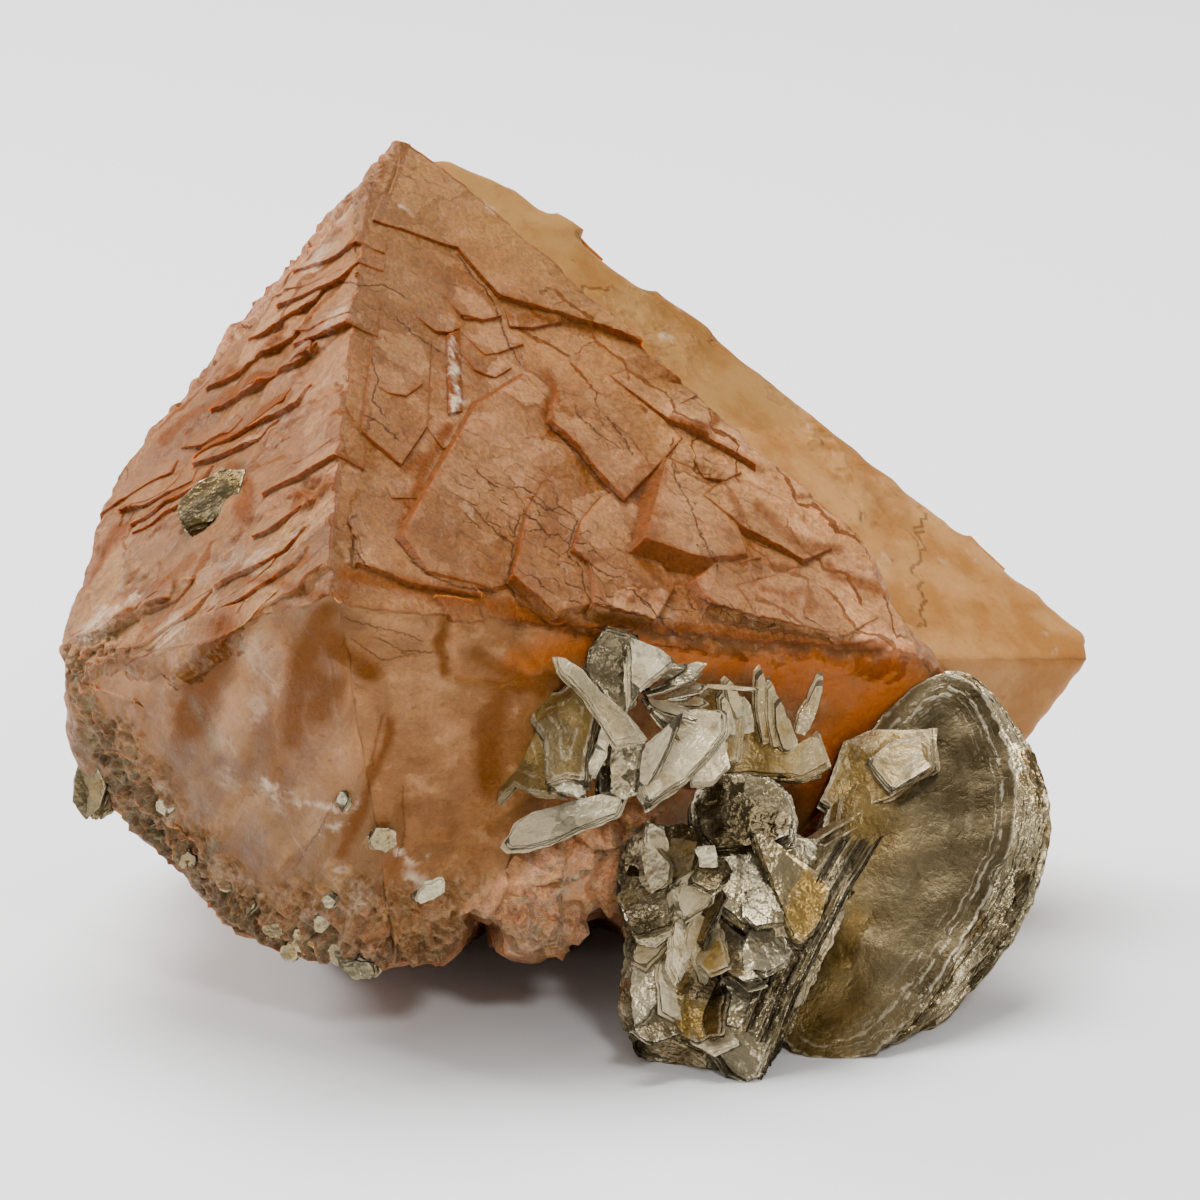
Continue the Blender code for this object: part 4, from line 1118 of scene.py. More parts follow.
# one closed sheet: bend is the bow's middle (x, y), then its strength along x, y and across; finish is how
# golden it is, how dark, and how plain
def addSheet(store, home, loop, level, thick, bend, wave, seed, finish, layer=0,
             spacing=sheetLook["spacing"]):
    origin, right, up, normal = home
    count = len(loop)
    grid = innerGrid(loop, spacing, sheetLook["margin"])
    pts = [Vector(p) for p in loop] + [Vector(p) for p in grid]
    edges = [(k, (k + 1) % count) for k in range(count)]
    flat, _, tris, original, _, _ = delaunay_2d_cdt(pts, edges, [], 1, 1e-5)
    flat = np.array([tuple(p) for p in flat])
    rimId = {}
    for k, source in enumerate(original):
        for s in source:
            if s < count:
                rimId[s] = k
    if len(rimId) < count or not tris:
        return
    x = flat[:, 0] - bend[0]
    y = flat[:, 1] - bend[1]
    lift = bend[2] * x * x + bend[3] * y * y + bend[4] * x * y
    lift = np.clip(lift, -sheetLook["mostBow"], sheetLook["mostBow"])
    scale = sheetLook["waveScale"]
    lift = lift + wave * np.array([noise.noise(Vector((p[0] * scale, p[1] * scale, 3.0 + seed * 0.2)))
                                   for p in flat])
    middle = np.array(origin) + flat[:, :1] * np.array(right) + flat[:, 1:] * np.array(up)
    top = middle + np.array(normal) * (level + lift)[:, None]
    first = store["count"]
    size = len(flat)
    store["points"] += [top, top - np.array(normal) * thick]
    order = np.array(tris)
    store["tris"] += [order + first, order[:, ::-1] + first + size]
    # the wall round the rim, facing out
    walls = []
    area = 0.0
    for k in range(count):
        a = rimId[k]
        b = rimId[(k + 1) % count]
        area += flat[a, 0] * flat[b, 1] - flat[b, 0] * flat[a, 1]
        walls.append((a + first, a + first + size, b + first + size))
        walls.append((a + first, b + first + size, b + first))
    if area < 0:
        walls = [w[::-1] for w in walls]
    store["tris"].append(np.array(walls))
    # every point keeps its distance from the rim
    inward = np.full(size, farAway)
    for k in range(count):
        way = loop[k] - loop[k - 1]
        off = flat - loop[k - 1]
        share = np.clip(off @ way / max(way @ way, 1e-9), 0, 1)
        inward = np.minimum(inward, np.linalg.norm(off - share[:, None] * way, axis=1))
    tone = (seed * 0.618 + level * 3.7 + layer * 0.37) % 1.0
    for name, value in zip(micaValues, (inward, *finish, tone)):
        store[name].append(np.tile(np.zeros(size) + value, 2))
    store["count"] += 2 * size


# a leaf drawn by its outline in the front view; the sheets under the first are a little larger and slip
def micaLeaf(store, seed, at, normal, outline, sheets, thick, shrink=0.018, rag=0.12, wave=0.15,
             bend=(0, 0, 0), tint=0.3, dark=0.2, glow=1.0):
    home = sheetHome(turnedTo(normal), spot(*at))
    plane = (home[3], home[3].dot(home[0]))
    loop = outlineIn(home, [seen(a, b, plane) for a, b in outline])
    middle = loop.mean(axis=0)
    rng = np.random.default_rng(seed)
    for k in range(sheets):
        slip = rng.uniform(-1, 1, 2) * 0.12
        layer = raggedLoop(middle + (loop - middle) * (1.0 + shrink * k) + slip, rag, seed * 3.1 + k * 1.7)
        level = -k * (thick + 0.7 * sheetLook["gap"])
        addSheet(store, home, layer, level, thick, (*middle, *bend), wave, seed, (tint, dark, glow), k)


# a narrow blade between two points (a, b, w), its flat side turned towards face
def micaBlade(store, start, end, width, face, sheets, thick, tint, dark, seed, curl=0.0):
    p = spot(*start)
    q = spot(*end)
    way = (q - p).normalized()
    toward = axisU * face[0] + axisV * face[1] + axisW * face[2]
    normal = (toward - way * toward.dot(way)).normalized()
    length = (q - p).length
    loop = np.array([(0, -0.32 * width), (0.25 * length, -0.5 * width), (0.8 * length, -0.42 * width),
                     (length, -0.12 * width), (0.94 * length, 0.25 * width), (0.5 * length, 0.5 * width),
                     (0, 0.36 * width)])
    for k in range(sheets):
        layer = raggedLoop(loop * (1 + 0.05 * k) + np.array([0.1 * k, 0.05 * k]), 0.06, seed * 2.3 + k)
        addSheet(store, (p, way, normal.cross(way), normal), layer, -k * (thick + sheetLook["gap"]), thick,
                 (0, 0, curl, 0, 0), 0.08, seed, (tint, dark, 1.0))


# a loose stack of five- to nine-sided sheets about a point
def micaStack(store, origin, face, radius, sheets, thick, stretch, spin, sides, rag, wave, tint, dark, seed):
    rng = np.random.default_rng(seed)
    home = sheetHome(face, origin)
    turns = (np.arange(sides) + rng.uniform(-0.2, 0.2, sides)) * 2 * math.pi / sides
    size = radius * rng.uniform(0.85, 1.1, sides)
    x = size * np.cos(turns) * stretch
    y = size * np.sin(turns)
    c = math.cos(math.radians(spin))
    s = math.sin(math.radians(spin))
    loop = np.stack([x * c - y * s, x * s + y * c], axis=1)
    for k in range(sheets):
        layer = raggedLoop(loop * (1 + 0.03 * k) + rng.uniform(-1, 1, 2) * 0.15, rag, seed * 2.9 + k)
        addSheet(store, home, layer, -k * (thick + sheetLook["gap"]), thick, (0, 0, 0, 0, 0), wave, seed,
                 (tint, dark, 1.0))


# a book seen from its edge: sheets side by side, each running from start to end and back into depth
def micaPanel(store, start, end, depth, slipWay, sheets, thick, tint, dark, glow, seed):
    rng = np.random.default_rng(seed)
    p = spot(*start)
    q = spot(*end)
    way = (q - p).normalized()
    back = (-axisW + way * way.dot(axisW)).normalized()
    normal = way.cross(back).normalized()
    if normal.dot(axisU * slipWay[0] + axisV * slipWay[1]) < 0:
        normal = -normal
    side = normal.cross(way)
    if side.dot(back) < 0:
        side = -side
    length = (q - p).length
    for k in range(sheets):
        a0 = rng.uniform(-0.5, 0.5) + 0.05 * k
        a1 = length + rng.uniform(-0.7, 0.7) - 0.12 * k
        front = rng.uniform(-0.35, 0.25)
        loop = np.array([(a0, front), (0.3 * length, front + rng.uniform(-0.2, 0.2)),
                         (0.65 * length, front + rng.uniform(-0.2, 0.2)), (a1, front + 0.2),
                         (a1 - 1.5, depth * 0.6), (0.6 * length, depth), (a0 + 2.0, depth)])
        layer = raggedLoop(loop, 0.14, seed + k * 1.3)
        finish = (tint + rng.uniform(-0.15, 0.15), dark + rng.uniform(-0.3, 0.1), glow)
        addSheet(store, (p, way, side, normal), layer, k * thick, thick * 0.82,
                 (length * 0.5, 0, -0.006, 0, 0), 0.12, seed + k, finish)


def storeObject(store, name, replaced):
    points = np.concatenate(store["points"])
    tris = np.concatenate(store["tris"])
    points[:, 2] = np.maximum(points[:, 2], 0.02)
    mesh = bpy.data.meshes.new(name)
    mesh.from_pydata((points * mm).tolist(), [], tris.tolist())
    for key in micaValues:
        mesh.attributes.new(key, "FLOAT", "POINT").data.foreach_set("value", np.concatenate(store[key]))
    mesh.materials.append(muscovite)
    piece = addPiece(name, mesh, sheetLook["smoothBelow"])
    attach(piece, "root")
    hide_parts(replaced)
    print(name, len(tris), "triangles")


micaLook = {
    "silver": (0.66, 0.57, 0.37), "golden": (0.25, 0.150, 0.034), "dark": (0.030, 0.019, 0.005),
    "rim": (0.68, 0.60, 0.42), "stain": (0.050, 0.033, 0.015), "edge": (0.020, 0.014, 0.007),
    "sheen": (1.0, 0.86, 0.62), "facets": 300.0, "ior": 1.58,
}
muscovite, tree, shader = newMaterial("muscovite")
look = micaLook
tint = attributeValue("tint")
dark = attributeValue("dark")
tone = attributeValue("tone")
inward = attributeValue("inward")
glow = attributeValue("glow")
plain = spread(glow, 1.2, 1.8)
coords = tree.nodes.new("ShaderNodeTexCoord").outputs["Object"]
fine = noiseTexture(coords, 800.0, 5.0, 0.7)
broad = noiseTexture(coords, 170.0, 4.0, 0.6)
# tilted facets, each with its own tone
facetPlace = warped(coords, 500.0, 0.0016)
cell = tree.nodes.new("ShaderNodeTexVoronoi")
cell.inputs["Scale"].default_value = look["facets"]
tree.links.new(facetPlace, cell.inputs["Vector"])
away = vectorMaths("SUBTRACT", facetPlace, cell.outputs["Position"])
lean = vectorMaths("SUBTRACT", cell.outputs["Color"], (0.5, 0.5, 0.5))
facetTone = vectorMaths("DOT_PRODUCT", cell.outputs["Color"], (0.4, 0.3, 0.3))
facets = product(vectorMaths("DOT_PRODUCT", away, lean), 600.0)
shift = total(spread(broad, 0.35, 0.65, -0.22, 0.28), spread(facetTone, 0.3, 0.7, -0.12, 0.22))
shift = product(shift, without(plain, 0.7))
colour = mixColour(total(tint, shift, True), look["silver"], look["golden"])
colour = mixColour(maths("SUBTRACT", dark, shift, True), colour, look["dark"])
colour = mixColour(spread(fine, 0.54, 0.70, 0.0, 0.6), colour, look["stain"])
# growth lines that follow the outline, and a pale worn rim
follow = tree.nodes.new("ShaderNodeCombineXYZ")
tree.links.new(total(inward, product(broad, 1.2)), follow.inputs[0])
tree.links.new(product(broad, 3.0), follow.inputs[1])
growth = noiseTexture(follow.outputs[0], 2.2, 3.0, 0.7)
lined = product(spread(growth, 0.48, 0.66, 0.0, 0.32), plain)
lined = product(lined, spread(inward, 3.2, 0.8, 0.05, 1.0))
colour = mixColour(lined, colour, look["rim"])
worn = product(spread(inward, 0.02, 0.20, 0.45, 0.0), spread(broad, 0.46, 0.60))
colour = mixColour(product(worn, spread(glow, 0.0, 1.0)), colour, look["rim"])
# every other sheet is dark at its edge
edgeOn = product(spread(inward, 0.0, 0.04, 1.0, 0.0), spread(tone, 0.55, 0.65))
colour = mixColour(product(edgeOn, 0.9), colour, look["edge"])
tree.links.new(colour, shader.inputs["Base Color"])
polish = spread(fine, 0.35, 0.65, 0.07, 0.36)
tree.links.new(total(polish, product(plain, 0.22)), shader.inputs["Roughness"])
tree.links.new(spread(dark, 0.0, 0.4, 0.25, 0.7), shader.inputs["Metallic"])
height = total(product(facets, maths("SUBTRACT", 1.3, product(plain, 1.1))), product(fine, 0.16))
height = total(height, product(lined, 0.10))
tree.links.new(bumpOf(height, mm), shader.inputs["Normal"])
shader.inputs["Specular Tint"].default_value = (*look["sheen"], 1.0)
shader.inputs["IOR"].default_value = look["ior"]
print("muscovite's material", len(tree.nodes), "nodes")

# upper rosette: drawn leaves, a sheaf of needles, and single blades (start, end, width)
upperLeaves = [
    {"seed": 1, "at": (11.6, -10.8, 19.0), "normal": (0.1, 0.35, 0.9), "sheets": 8, "thick": 0.11,
     "shrink": 0.012, "wave": 0.5, "tint": 0.95, "dark": 0.0, "glow": 1.5,
     "outline": [(6.8, -9.2), (8.4, -8.1), (10.7, -8.7), (12.6, -10.7), (15, -10.8), (16.3, -9.9),
                 (17.1, -12.2), (15.1, -13.2), (13, -13), (11.2, -12.8), (8.4, -13.2), (6.8, -12)]},
    {"seed": 2, "at": (8.4, -9.1, 21.5), "normal": (-0.3, 0.1, 0.9), "sheets": 7, "thick": 0.088,
     "wave": 0.4, "tint": 0.9, "dark": 0.05, "glow": 1.5,
     "outline": [(7.5, -6.8), (9.3, -6.8), (10.5, -9), (10.2, -12), (7.9, -12.3), (7, -9.3)]},
    {"seed": 3, "at": (14.8, -11.9, 18.0), "normal": (0.3, 0.5, 0.7), "sheets": 7, "thick": 0.088,
     "wave": 0.4, "tint": 0.9, "dark": 0.0,
     "outline": [(13.9, -11.4), (15, -10.8), (16.9, -12), (16.6, -12.9), (15, -13.3), (13.5, -13.2)]},
    {"seed": 4, "at": (-5.4, -11.2, 27.6), "normal": (-0.45, 0.15, 0.88), "sheets": 8, "thick": 0.088,
     "wave": 0.5, "bend": (0.0, 0.0, 0.03), "tint": 0.95, "dark": 0.46, "glow": 1.62,
     "outline": [(-5.5, -8.7), (-4.3, -9.8), (-3.6, -13.5), (-3.4, -14.5), (-5.2, -14.4), (-6.5, -13.8),
                 (-7.6, -15.1), (-7.9, -12.9), (-7.3, -10.9), (-6.6, -9.6)]},
    {"seed": 5, "at": (-2.9, -9.4, 29.6), "normal": (-0.2, 0.25, 0.94), "sheets": 10, "thick": 0.0935,
     "wave": 0.4, "bend": (0.02, 0.0, 0.0), "tint": 0.9, "dark": 0.5, "glow": 1.62,
     "outline": [(-4.3, -7), (-3, -6.9), (-1.6, -6), (-0.3, -7.8), (-1.2, -11.4), (-1.3, -13.3),
                 (-2.7, -13.2), (-4, -13.6), (-4.2, -10.3), (-5.4, -8.7), (-5.2, -7.8)]},
    {"seed": 6, "at": (-2.3, -13.1, 29.9), "normal": (-0.1, 0.1, 0.98), "sheets": 5, "thick": 0.088,
     "tint": 0.1, "dark": 0.0,
     "outline": [(-1.5, -12.6), (-1.2, -14.8), (-2.5, -14.5), (-3.6, -14.2), (-3.6, -13.4)]},
    {"seed": 7, "at": (1.7, -12.0, 27.4), "normal": (-0.35, 0.1, 0.9), "sheets": 10, "thick": 0.077,
     "tint": 0.35, "dark": 0.45,
     "outline": [(0.9, -10.7), (2.2, -10.8), (3, -11.4), (2.5, -14.2), (1.6, -14.7), (0.8, -14.2)]},
    {"seed": 8, "at": (-0.1, -10.8, 29.6), "normal": (0.4, 0.0, 0.9), "sheets": 7, "thick": 0.088,
     "tint": 0.05, "dark": 0.05,
     "outline": [(0.3, -9.3), (0.9, -9.6), (0.4, -11.8), (-0.3, -13.3), (-1.2, -13.2), (-0.4, -11.2)]},
    # painted shade: a nearly black sheet that fills the shaded gap between the central sheets
    {"seed": 9, "at": (0.4, -12.1, 26.0), "normal": (0.1, 0.1, 0.95), "sheets": 5, "thick": 0.088,
     "tint": 0.4, "dark": 0.95,
     "outline": [(-0.1, -10.3), (1.2, -10.9), (0.9, -14.7), (-0.1, -14.4)]},
    {"seed": 10, "at": (0.6, -4.9, 29.6), "normal": (-0.15, 0.15, 0.95), "sheets": 8, "thick": 0.11,
     "wave": 0.25, "tint": 0.3, "dark": 0.82,
     "outline": [(0.4, -2.3), (2.4, -2.9), (2.3, -7.5), (1.2, -8.4), (0.1, -6.8), (-1.1, -5.1),
                 (-0.8, -3.8)]},
    {"seed": 11, "at": (3.7, -4.6, 29.8), "normal": (0.45, 0.55, 0.7), "sheets": 8, "thick": 0.11,
     "wave": 0.25, "tint": 0.05, "dark": 0.1,
     "outline": [(2.4, -2.9), (4.5, -3.6), (5.7, -4.5), (4.5, -5.4), (3.4, -6.3), (2.5, -7.5)]},
    {"seed": 12, "at": (0.3, -7.1, 31.6), "normal": (0.35, 0.35, 0.87), "sheets": 7, "thick": 0.077,
     "wave": 0.3, "tint": 0.45, "dark": 0.25, "glow": 1.55,
     "outline": [(-3, -4.4), (-2.4, -4.6), (-1.3, -5.4), (0.1, -6.9), (2.1, -8.7), (3.4, -10.1),
                 (2.2, -10.3), (1.2, -10.6), (0.1, -8.7), (-0.9, -7.3), (-1.9, -6.3), (-2.7, -5.4)]},
    {"seed": 13, "at": (5.8, -10.9, 28.4), "normal": (-0.1, 0.3, 0.95), "sheets": 10, "thick": 0.0935,
     "wave": 0.45, "tint": 0.34, "dark": 0.0, "glow": 1.5,
     "outline": [(5.5, -8.7), (7.2, -8.4), (9, -8.5), (9, -9.9), (7.9, -11.5), (6.3, -13.2), (5, -14.1),
                 (3.6, -15.1), (3.1, -13.9), (4, -12), (4.6, -10.3)]},
    {"seed": 14, "at": (3.8, -11.2, 29.0), "normal": (-0.5, 0.1, 0.85), "sheets": 7, "thick": 0.077,
     "wave": 0.3, "tint": 0.12, "dark": 0.02, "glow": 1.5,
     "outline": [(3.1, -11.1), (4.6, -9.8), (5.7, -8.7), (4.5, -12), (3.6, -13.9), (3, -13.9), (3, -12.3)]},
    {"seed": 15, "at": (7.8, -12.1, 25.4), "normal": (0.1, 0.4, 0.9), "sheets": 7, "thick": 0.088,
     "wave": 0.4, "tint": 0.4, "dark": 0.05, "glow": 1.5,
     "outline": [(6.8, -12.9), (7.9, -11.7), (9.3, -10.5), (9.6, -12.4), (8.4, -13.7), (7, -13.8)]},
    {"seed": 16, "at": (-2.8, -15.8, 27.2), "normal": (-0.1, 0.45, 0.88), "sheets": 7, "thick": 0.11,
     "wave": 0.3, "tint": 0.05, "dark": 0.0, "glow": 1.5,
     "outline": [(-7, -18), (-6.1, -16.6), (-5.2, -15.9), (-2.5, -15.1), (0.1, -14.5), (1.6, -14.8),
                 (1.1, -15.9), (-0.1, -16.5), (-1.8, -17.1), (-3.8, -18.1), (-5.5, -18.4), (-6.6, -18.4)]},
]
sheafLook = {"count": 15, "length": 4.6, "width": 1.6, "thick": 0.11}
upperBlades = [
    ((12.2, -10.4, 19.6), (11.4, -5.4, 20.2), 1.2), ((12.9, -10.6, 19.4), (12.2, -6.2, 19.8), 1.1),
    ((13.7, -10.9, 19.0), (12.7, -7.2, 19.6), 1.2), ((14.2, -11.0, 18.6), (13.2, -8.4, 19.2), 1.1),
    ((15.0, -9.4, 17.6), (16.0, -5.8, 17.2), 0.9), ((14.6, -9.8, 18.0), (15.3, -7.6, 17.6), 1.0),
    ((10.2, -8.4, 22.0), (9.2, -5.9, 22.4), 1.1), ((9.6, -9.8, 22.4), (8.8, -7.0, 22.8), 1.0),
    ((7.7, -6.2, 23.4), (11.2, -6.5, 21.6), 0.35), ((10.8, -9.6, 21.0), (10.4, -7.2, 21.2), 1.2),
]
upper = newStore()
for row in upperLeaves:
    micaLeaf(upper, **row)
rng = np.random.default_rng(21)
for k in range(sheafLook["count"]):
    share = k / (sheafLook["count"] - 1)
    way = math.radians(26 - 78 * share + rng.uniform(-6, 6))
    u = 3.0 + 1.0 * share + rng.uniform(-0.3, 0.5)
    v = -6.3 - 1.6 * share + rng.uniform(-0.3, 0.3)
    size = sheafLook["length"] * rng.uniform(0.7, 1.05) * (1 - 0.25 * share)
    w = 28.6 + rng.uniform(-0.5, 0.6)
    end = (u + size * math.cos(way), v + size * math.sin(way), w - 1.5 - 1.5 * rng.random())
    face = (-math.sin(way) + 0.3, math.cos(way), 0.45 + 0.3 * rng.random())
    micaBlade(upper, (u, v, w), end, sheafLook["width"], face, 2, sheafLook["thick"],
              tint=0.15 + 0.3 * rng.random(), dark=0.15 + 0.4 * rng.random(), seed=50 + k)
for k, (start, end, width) in enumerate(upperBlades):
    micaBlade(upper, start, end, width, (0.5, 0.3, 0.8), 3, 0.12, tint=0.6, dark=0.0, seed=80 + k, curl=0.02)
storeObject(upper, "upper_rosette", "muscovite_upper_rosette")

# lower rosette: drawn scales, the thick book edge beside them, and chips between the scales
lowerLeaves = [
    {"seed": 20, "at": (8.7, -23.9, 22.6), "normal": (-0.05, 0.3, 0.95), "sheets": 14, "thick": 0.1925,
     "rag": 0.3, "wave": 0.8, "tint": 0.3, "dark": 0.55,
     "outline": [(3, -18), (4.5, -17.4), (7.5, -18.4), (12, -18.1), (15, -18.8), (16.9, -21.8),
                 (15.4, -25.5), (12.8, -30.8), (10.5, -34.5), (8.7, -33.9), (6.8, -32.7), (3.8, -31.9),
                 (2.5, -29.2), (3, -24.8), (2.4, -20.2)]},
    {"seed": 21, "at": (10.4, -15.3, 24.4), "normal": (0.05, 0.35, 0.93), "sheets": 12, "thick": 0.121,
     "wave": 0.5, "tint": 0.15, "dark": 0.95,
     "outline": [(7.5, -17.2), (7.3, -15.4), (8, -13.8), (9.2, -13.2), (10.8, -13.1), (12.6, -13.3),
                 (13.8, -14.4), (14.3, -16.1), (14.1, -17.7), (12.8, -18.1), (11.1, -18.4), (8.7, -18.4)]},
    {"seed": 22, "at": (5.2, -17.8, 25.0), "normal": (-0.3, 0.3, 0.9), "sheets": 8, "thick": 0.11,
     "wave": 0.3, "tint": 0.6, "dark": 0.8,
     "outline": [(3.4, -17.8), (4.5, -17.2), (6, -16.8), (7.3, -17.4), (7.2, -18.8), (6.8, -20.1),
                 (5.4, -20.7), (4.2, -19.6)]},
    {"seed": 23, "at": (3.8, -19.2, 25.4), "normal": (-0.5, 0.1, 0.85), "sheets": 7, "thick": 0.088,
     "tint": 0.1, "dark": 0.55,
     "outline": [(3, -18.8), (3.9, -18.4), (5.1, -19.9), (5, -21), (3.8, -21.9), (3, -21)]},
    {"seed": 24, "at": (10.3, -20.2, 25.2), "normal": (-0.12, 0.3, 0.94), "sheets": 10, "thick": 0.11,
     "wave": 0.6, "tint": 0.25, "dark": 0.35,
     "outline": [(7.8, -19.6), (9.2, -18.6), (11.7, -17.8), (12.6, -18.8), (13.3, -21), (14.2, -23.7),
                 (12.8, -24.1), (10.8, -24.1), (8.7, -22.5), (7.9, -21)]},
    {"seed": 25, "at": (14.2, -20.5, 26.2), "normal": (0.25, 0.3, 0.92), "sheets": 8, "thick": 0.11,
     "wave": 0.35, "tint": 0.85, "dark": 0.3,
     "outline": [(11.8, -17.7), (13, -18.1), (14.4, -19.2), (15.9, -20.1), (17.4, -21.3), (16.9, -22.6),
                 (15.9, -24.8), (15.1, -25.5), (14.7, -25.2), (13.8, -23.1), (13, -21)]},
    {"seed": 26, "at": (12.0, -24.8, 26.4), "normal": (0.1, 0.35, 0.93), "sheets": 8, "thick": 0.121,
     "wave": 0.3, "tint": 0.1, "dark": 0.45,
     "outline": [(11.4, -24.6), (12.8, -24.1), (14.2, -24.6), (14.5, -25.9), (13.8, -27.1), (12.4, -27.9),
                 (10.9, -27.6), (10.8, -26.1)]},
    {"seed": 27, "at": (11.7, -21.9, 26.6), "normal": (-0.2, 0.3, 0.93), "sheets": 7, "thick": 0.099,
     "tint": 0.1, "dark": 0.5,
     "outline": [(10.8, -21.9), (12.6, -21.4), (13.5, -22.5), (13.7, -24.1), (11.7, -24.4), (10.8, -23.6)]},
    {"seed": 28, "at": (7.5, -18.3, 26.6), "normal": (-0.1, 0.2, 0.97), "sheets": 5, "thick": 0.088,
     "tint": 0.0, "dark": 0.2,
     "outline": [(7.2, -18.6), (8.5, -18.5), (8.7, -19.9), (7.6, -19.9)]},
    {"seed": 29, "at": (6.9, -29.1, 26.0), "normal": (-0.1, 0.3, 0.95), "sheets": 8, "thick": 0.121,
     "wave": 0.4, "tint": 0.75, "dark": 0.55,
     "outline": [(5.1, -30.4), (6, -28.9), (7, -27.4), (8.4, -27.9), (9.3, -28.8), (9.2, -30.6),
                 (8.4, -32.5), (7.5, -33.4), (6.1, -32.7), (5.2, -32.1)]},
    {"seed": 30, "at": (3.8, -27.7, 25.2), "normal": (-0.45, 0.2, 0.87), "sheets": 8, "thick": 0.11,
     "rag": 0.3, "wave": 0.5, "tint": 0.1, "dark": 0.4,
     "outline": [(2.7, -27), (4.2, -25.5), (5.4, -26.2), (5.7, -28.2), (4.6, -30.8), (3.8, -32.2),
                 (2.7, -32.1), (2.5, -29.7)]},
    {"seed": 31, "at": (3.7, -22.7, 25.4), "normal": (-0.5, 0.25, 0.83), "sheets": 8, "thick": 0.11,
     "rag": 0.3, "tint": 0.1, "dark": 0.6,
     "outline": [(2.5, -22.5), (3.8, -21.6), (5.1, -22.5), (5.4, -24.8), (4, -25.8), (2.7, -25.3)]},
    {"seed": 32, "at": (5.8, -22.4, 25.8), "normal": (0.3, 0.1, 0.94), "sheets": 8, "thick": 0.088,
     "rag": 0.2, "tint": 0.1, "dark": 0.4,
     "outline": [(5.1, -21.8), (6.8, -21), (7.6, -22.5), (7, -25.2), (5.7, -25.5), (5, -24)]},
    {"seed": 33, "at": (6.0, -24.8, 26.4), "normal": (0.55, 0.2, 0.8), "sheets": 7, "thick": 0.077,
     "tint": 0.0, "dark": 0.2,
     "outline": [(5.7, -24.3), (6.6, -23.4), (7.2, -24.8), (6.6, -27.1), (6, -28.5), (5.4, -27.4)]},
    {"seed": 34, "at": (8.9, -25.1, 25.8), "normal": (-0.2, 0.6, 0.75), "sheets": 8, "thick": 0.099,
     "tint": 0.3, "dark": 0.7,
     "outline": [(7.5, -24.8), (9.2, -24), (10.7, -25.5), (10.8, -27.4), (12, -28.3), (10.8, -28.6),
                 (8.7, -27.1), (7.6, -26.2)]},
    {"seed": 35, "at": (9.6, -28.7, 25.6), "normal": (0.2, 0.2, 0.95), "sheets": 8, "thick": 0.11,
     "rag": 0.2, "tint": 0.1, "dark": 0.35,
     "outline": [(9.3, -27.9), (10.9, -28.2), (11.4, -30), (10.5, -32.2), (9.2, -31.8), (8.7, -29.7)]},
    {"seed": 36, "at": (10.4, -31.8, 26.2), "normal": (0.1, 0.3, 0.95), "sheets": 10, "thick": 0.1375,
     "rag": 0.15, "tint": 0.2, "dark": 0.7,
     "outline": [(8.4, -33), (10.5, -31.5), (12.2, -30.8), (13.3, -30.9), (12.8, -33.3), (11.8, -35.5),
                 (11.1, -35.9), (9.9, -35.2)]},
]
bookEdge = {"start": (19.6, -17.0, 25.2), "end": (11.2, -34.2, 26.0), "depth": 7.0, "slipWay": (-1.0, 0.4),
            "sheets": 22, "thick": 0.135, "tint": 0.6, "dark": 0.95, "glow": 0.3, "seed": 3}
chipLook = {"count": 13, "u": (3.0, 9.5), "v": (-31.0, -17.5), "w": (25.0, 26.6), "radius": (0.7, 2.0),
            "thick": 0.14, "stretch": (1.2, 2.6), "spin": (45, 135), "dark": [0.0, 0.0, 0.3, 0.9, 1.0]}
lower = newStore()
for row in lowerLeaves:
    micaLeaf(lower, **row)
micaPanel(lower, **bookEdge)
rng = np.random.default_rng(23)
for k in range(chipLook["count"]):
    u = rng.uniform(*chipLook["u"])
    v = rng.uniform(*chipLook["v"])
    at = spot(u, v, rng.uniform(*chipLook["w"]))
    face = turnedTo((rng.uniform(-1.0, 0.7), rng.uniform(-0.3, 0.9), 0.8))
    micaStack(lower, at, face, rng.uniform(*chipLook["radius"]), 3, chipLook["thick"],
              rng.uniform(*chipLook["stretch"]), rng.uniform(*chipLook["spin"]), 5, 0.2, 0.1,
              tint=rng.uniform(0.0, 0.7), dark=rng.choice(chipLook["dark"]), seed=100 + k)
storeObject(lower, "lower_rosette", "muscovite_lower_rosette")

# fan book: sheets whose rim goes over from the front one's to the rear one's, a plain front sheet,
# drawn leaves and needles
fanLook = {
    "sheets": 22, "thick": 0.27, "at": (19.5, -8.0, 9.4), "deep": 6.6125, "lean": (-0.1, 0.44, 0.89),
    "rag": 0.22, "rimStep": 0.4, "bend": (2.0, -12.0, -0.002, -0.001, 0.0), "wave": 0.5,
    # spacing of the points on the first and last sheet, and on the ones between
    "outer": 0.6, "inner": 2.4,
    "frontRim": [(21.1, -8.0), (25.0, -4.8), (27.8, -6.2), (29.8, -9.6), (30.6, -14.6), (29.8, -18.6),
                 (27.0, -23.6), (23.6, -28.6), (19.6, -33.4), (12.6, -32.6), (13.4, -24.6), (16.4, -18.4),
                 (17.0, -13.2)],
    "rearRim": [(21.8, -7.6), (25.2, -4.7), (28.8, -6.0), (32.3, -11.2), (33.5, -15.6), (32.9, -19.4),
                (31.4, -23.6), (28.6, -27.0), (24.4, -31.2), (19.2, -34.0), (15.4, -33.0), (13.2, -28.0),
                (15.0, -18.0)],
    # the front sheet goes from golden to dark across this stretch, from left to right
    "goldenTo": 18.0, "darkOver": 9.0,
}
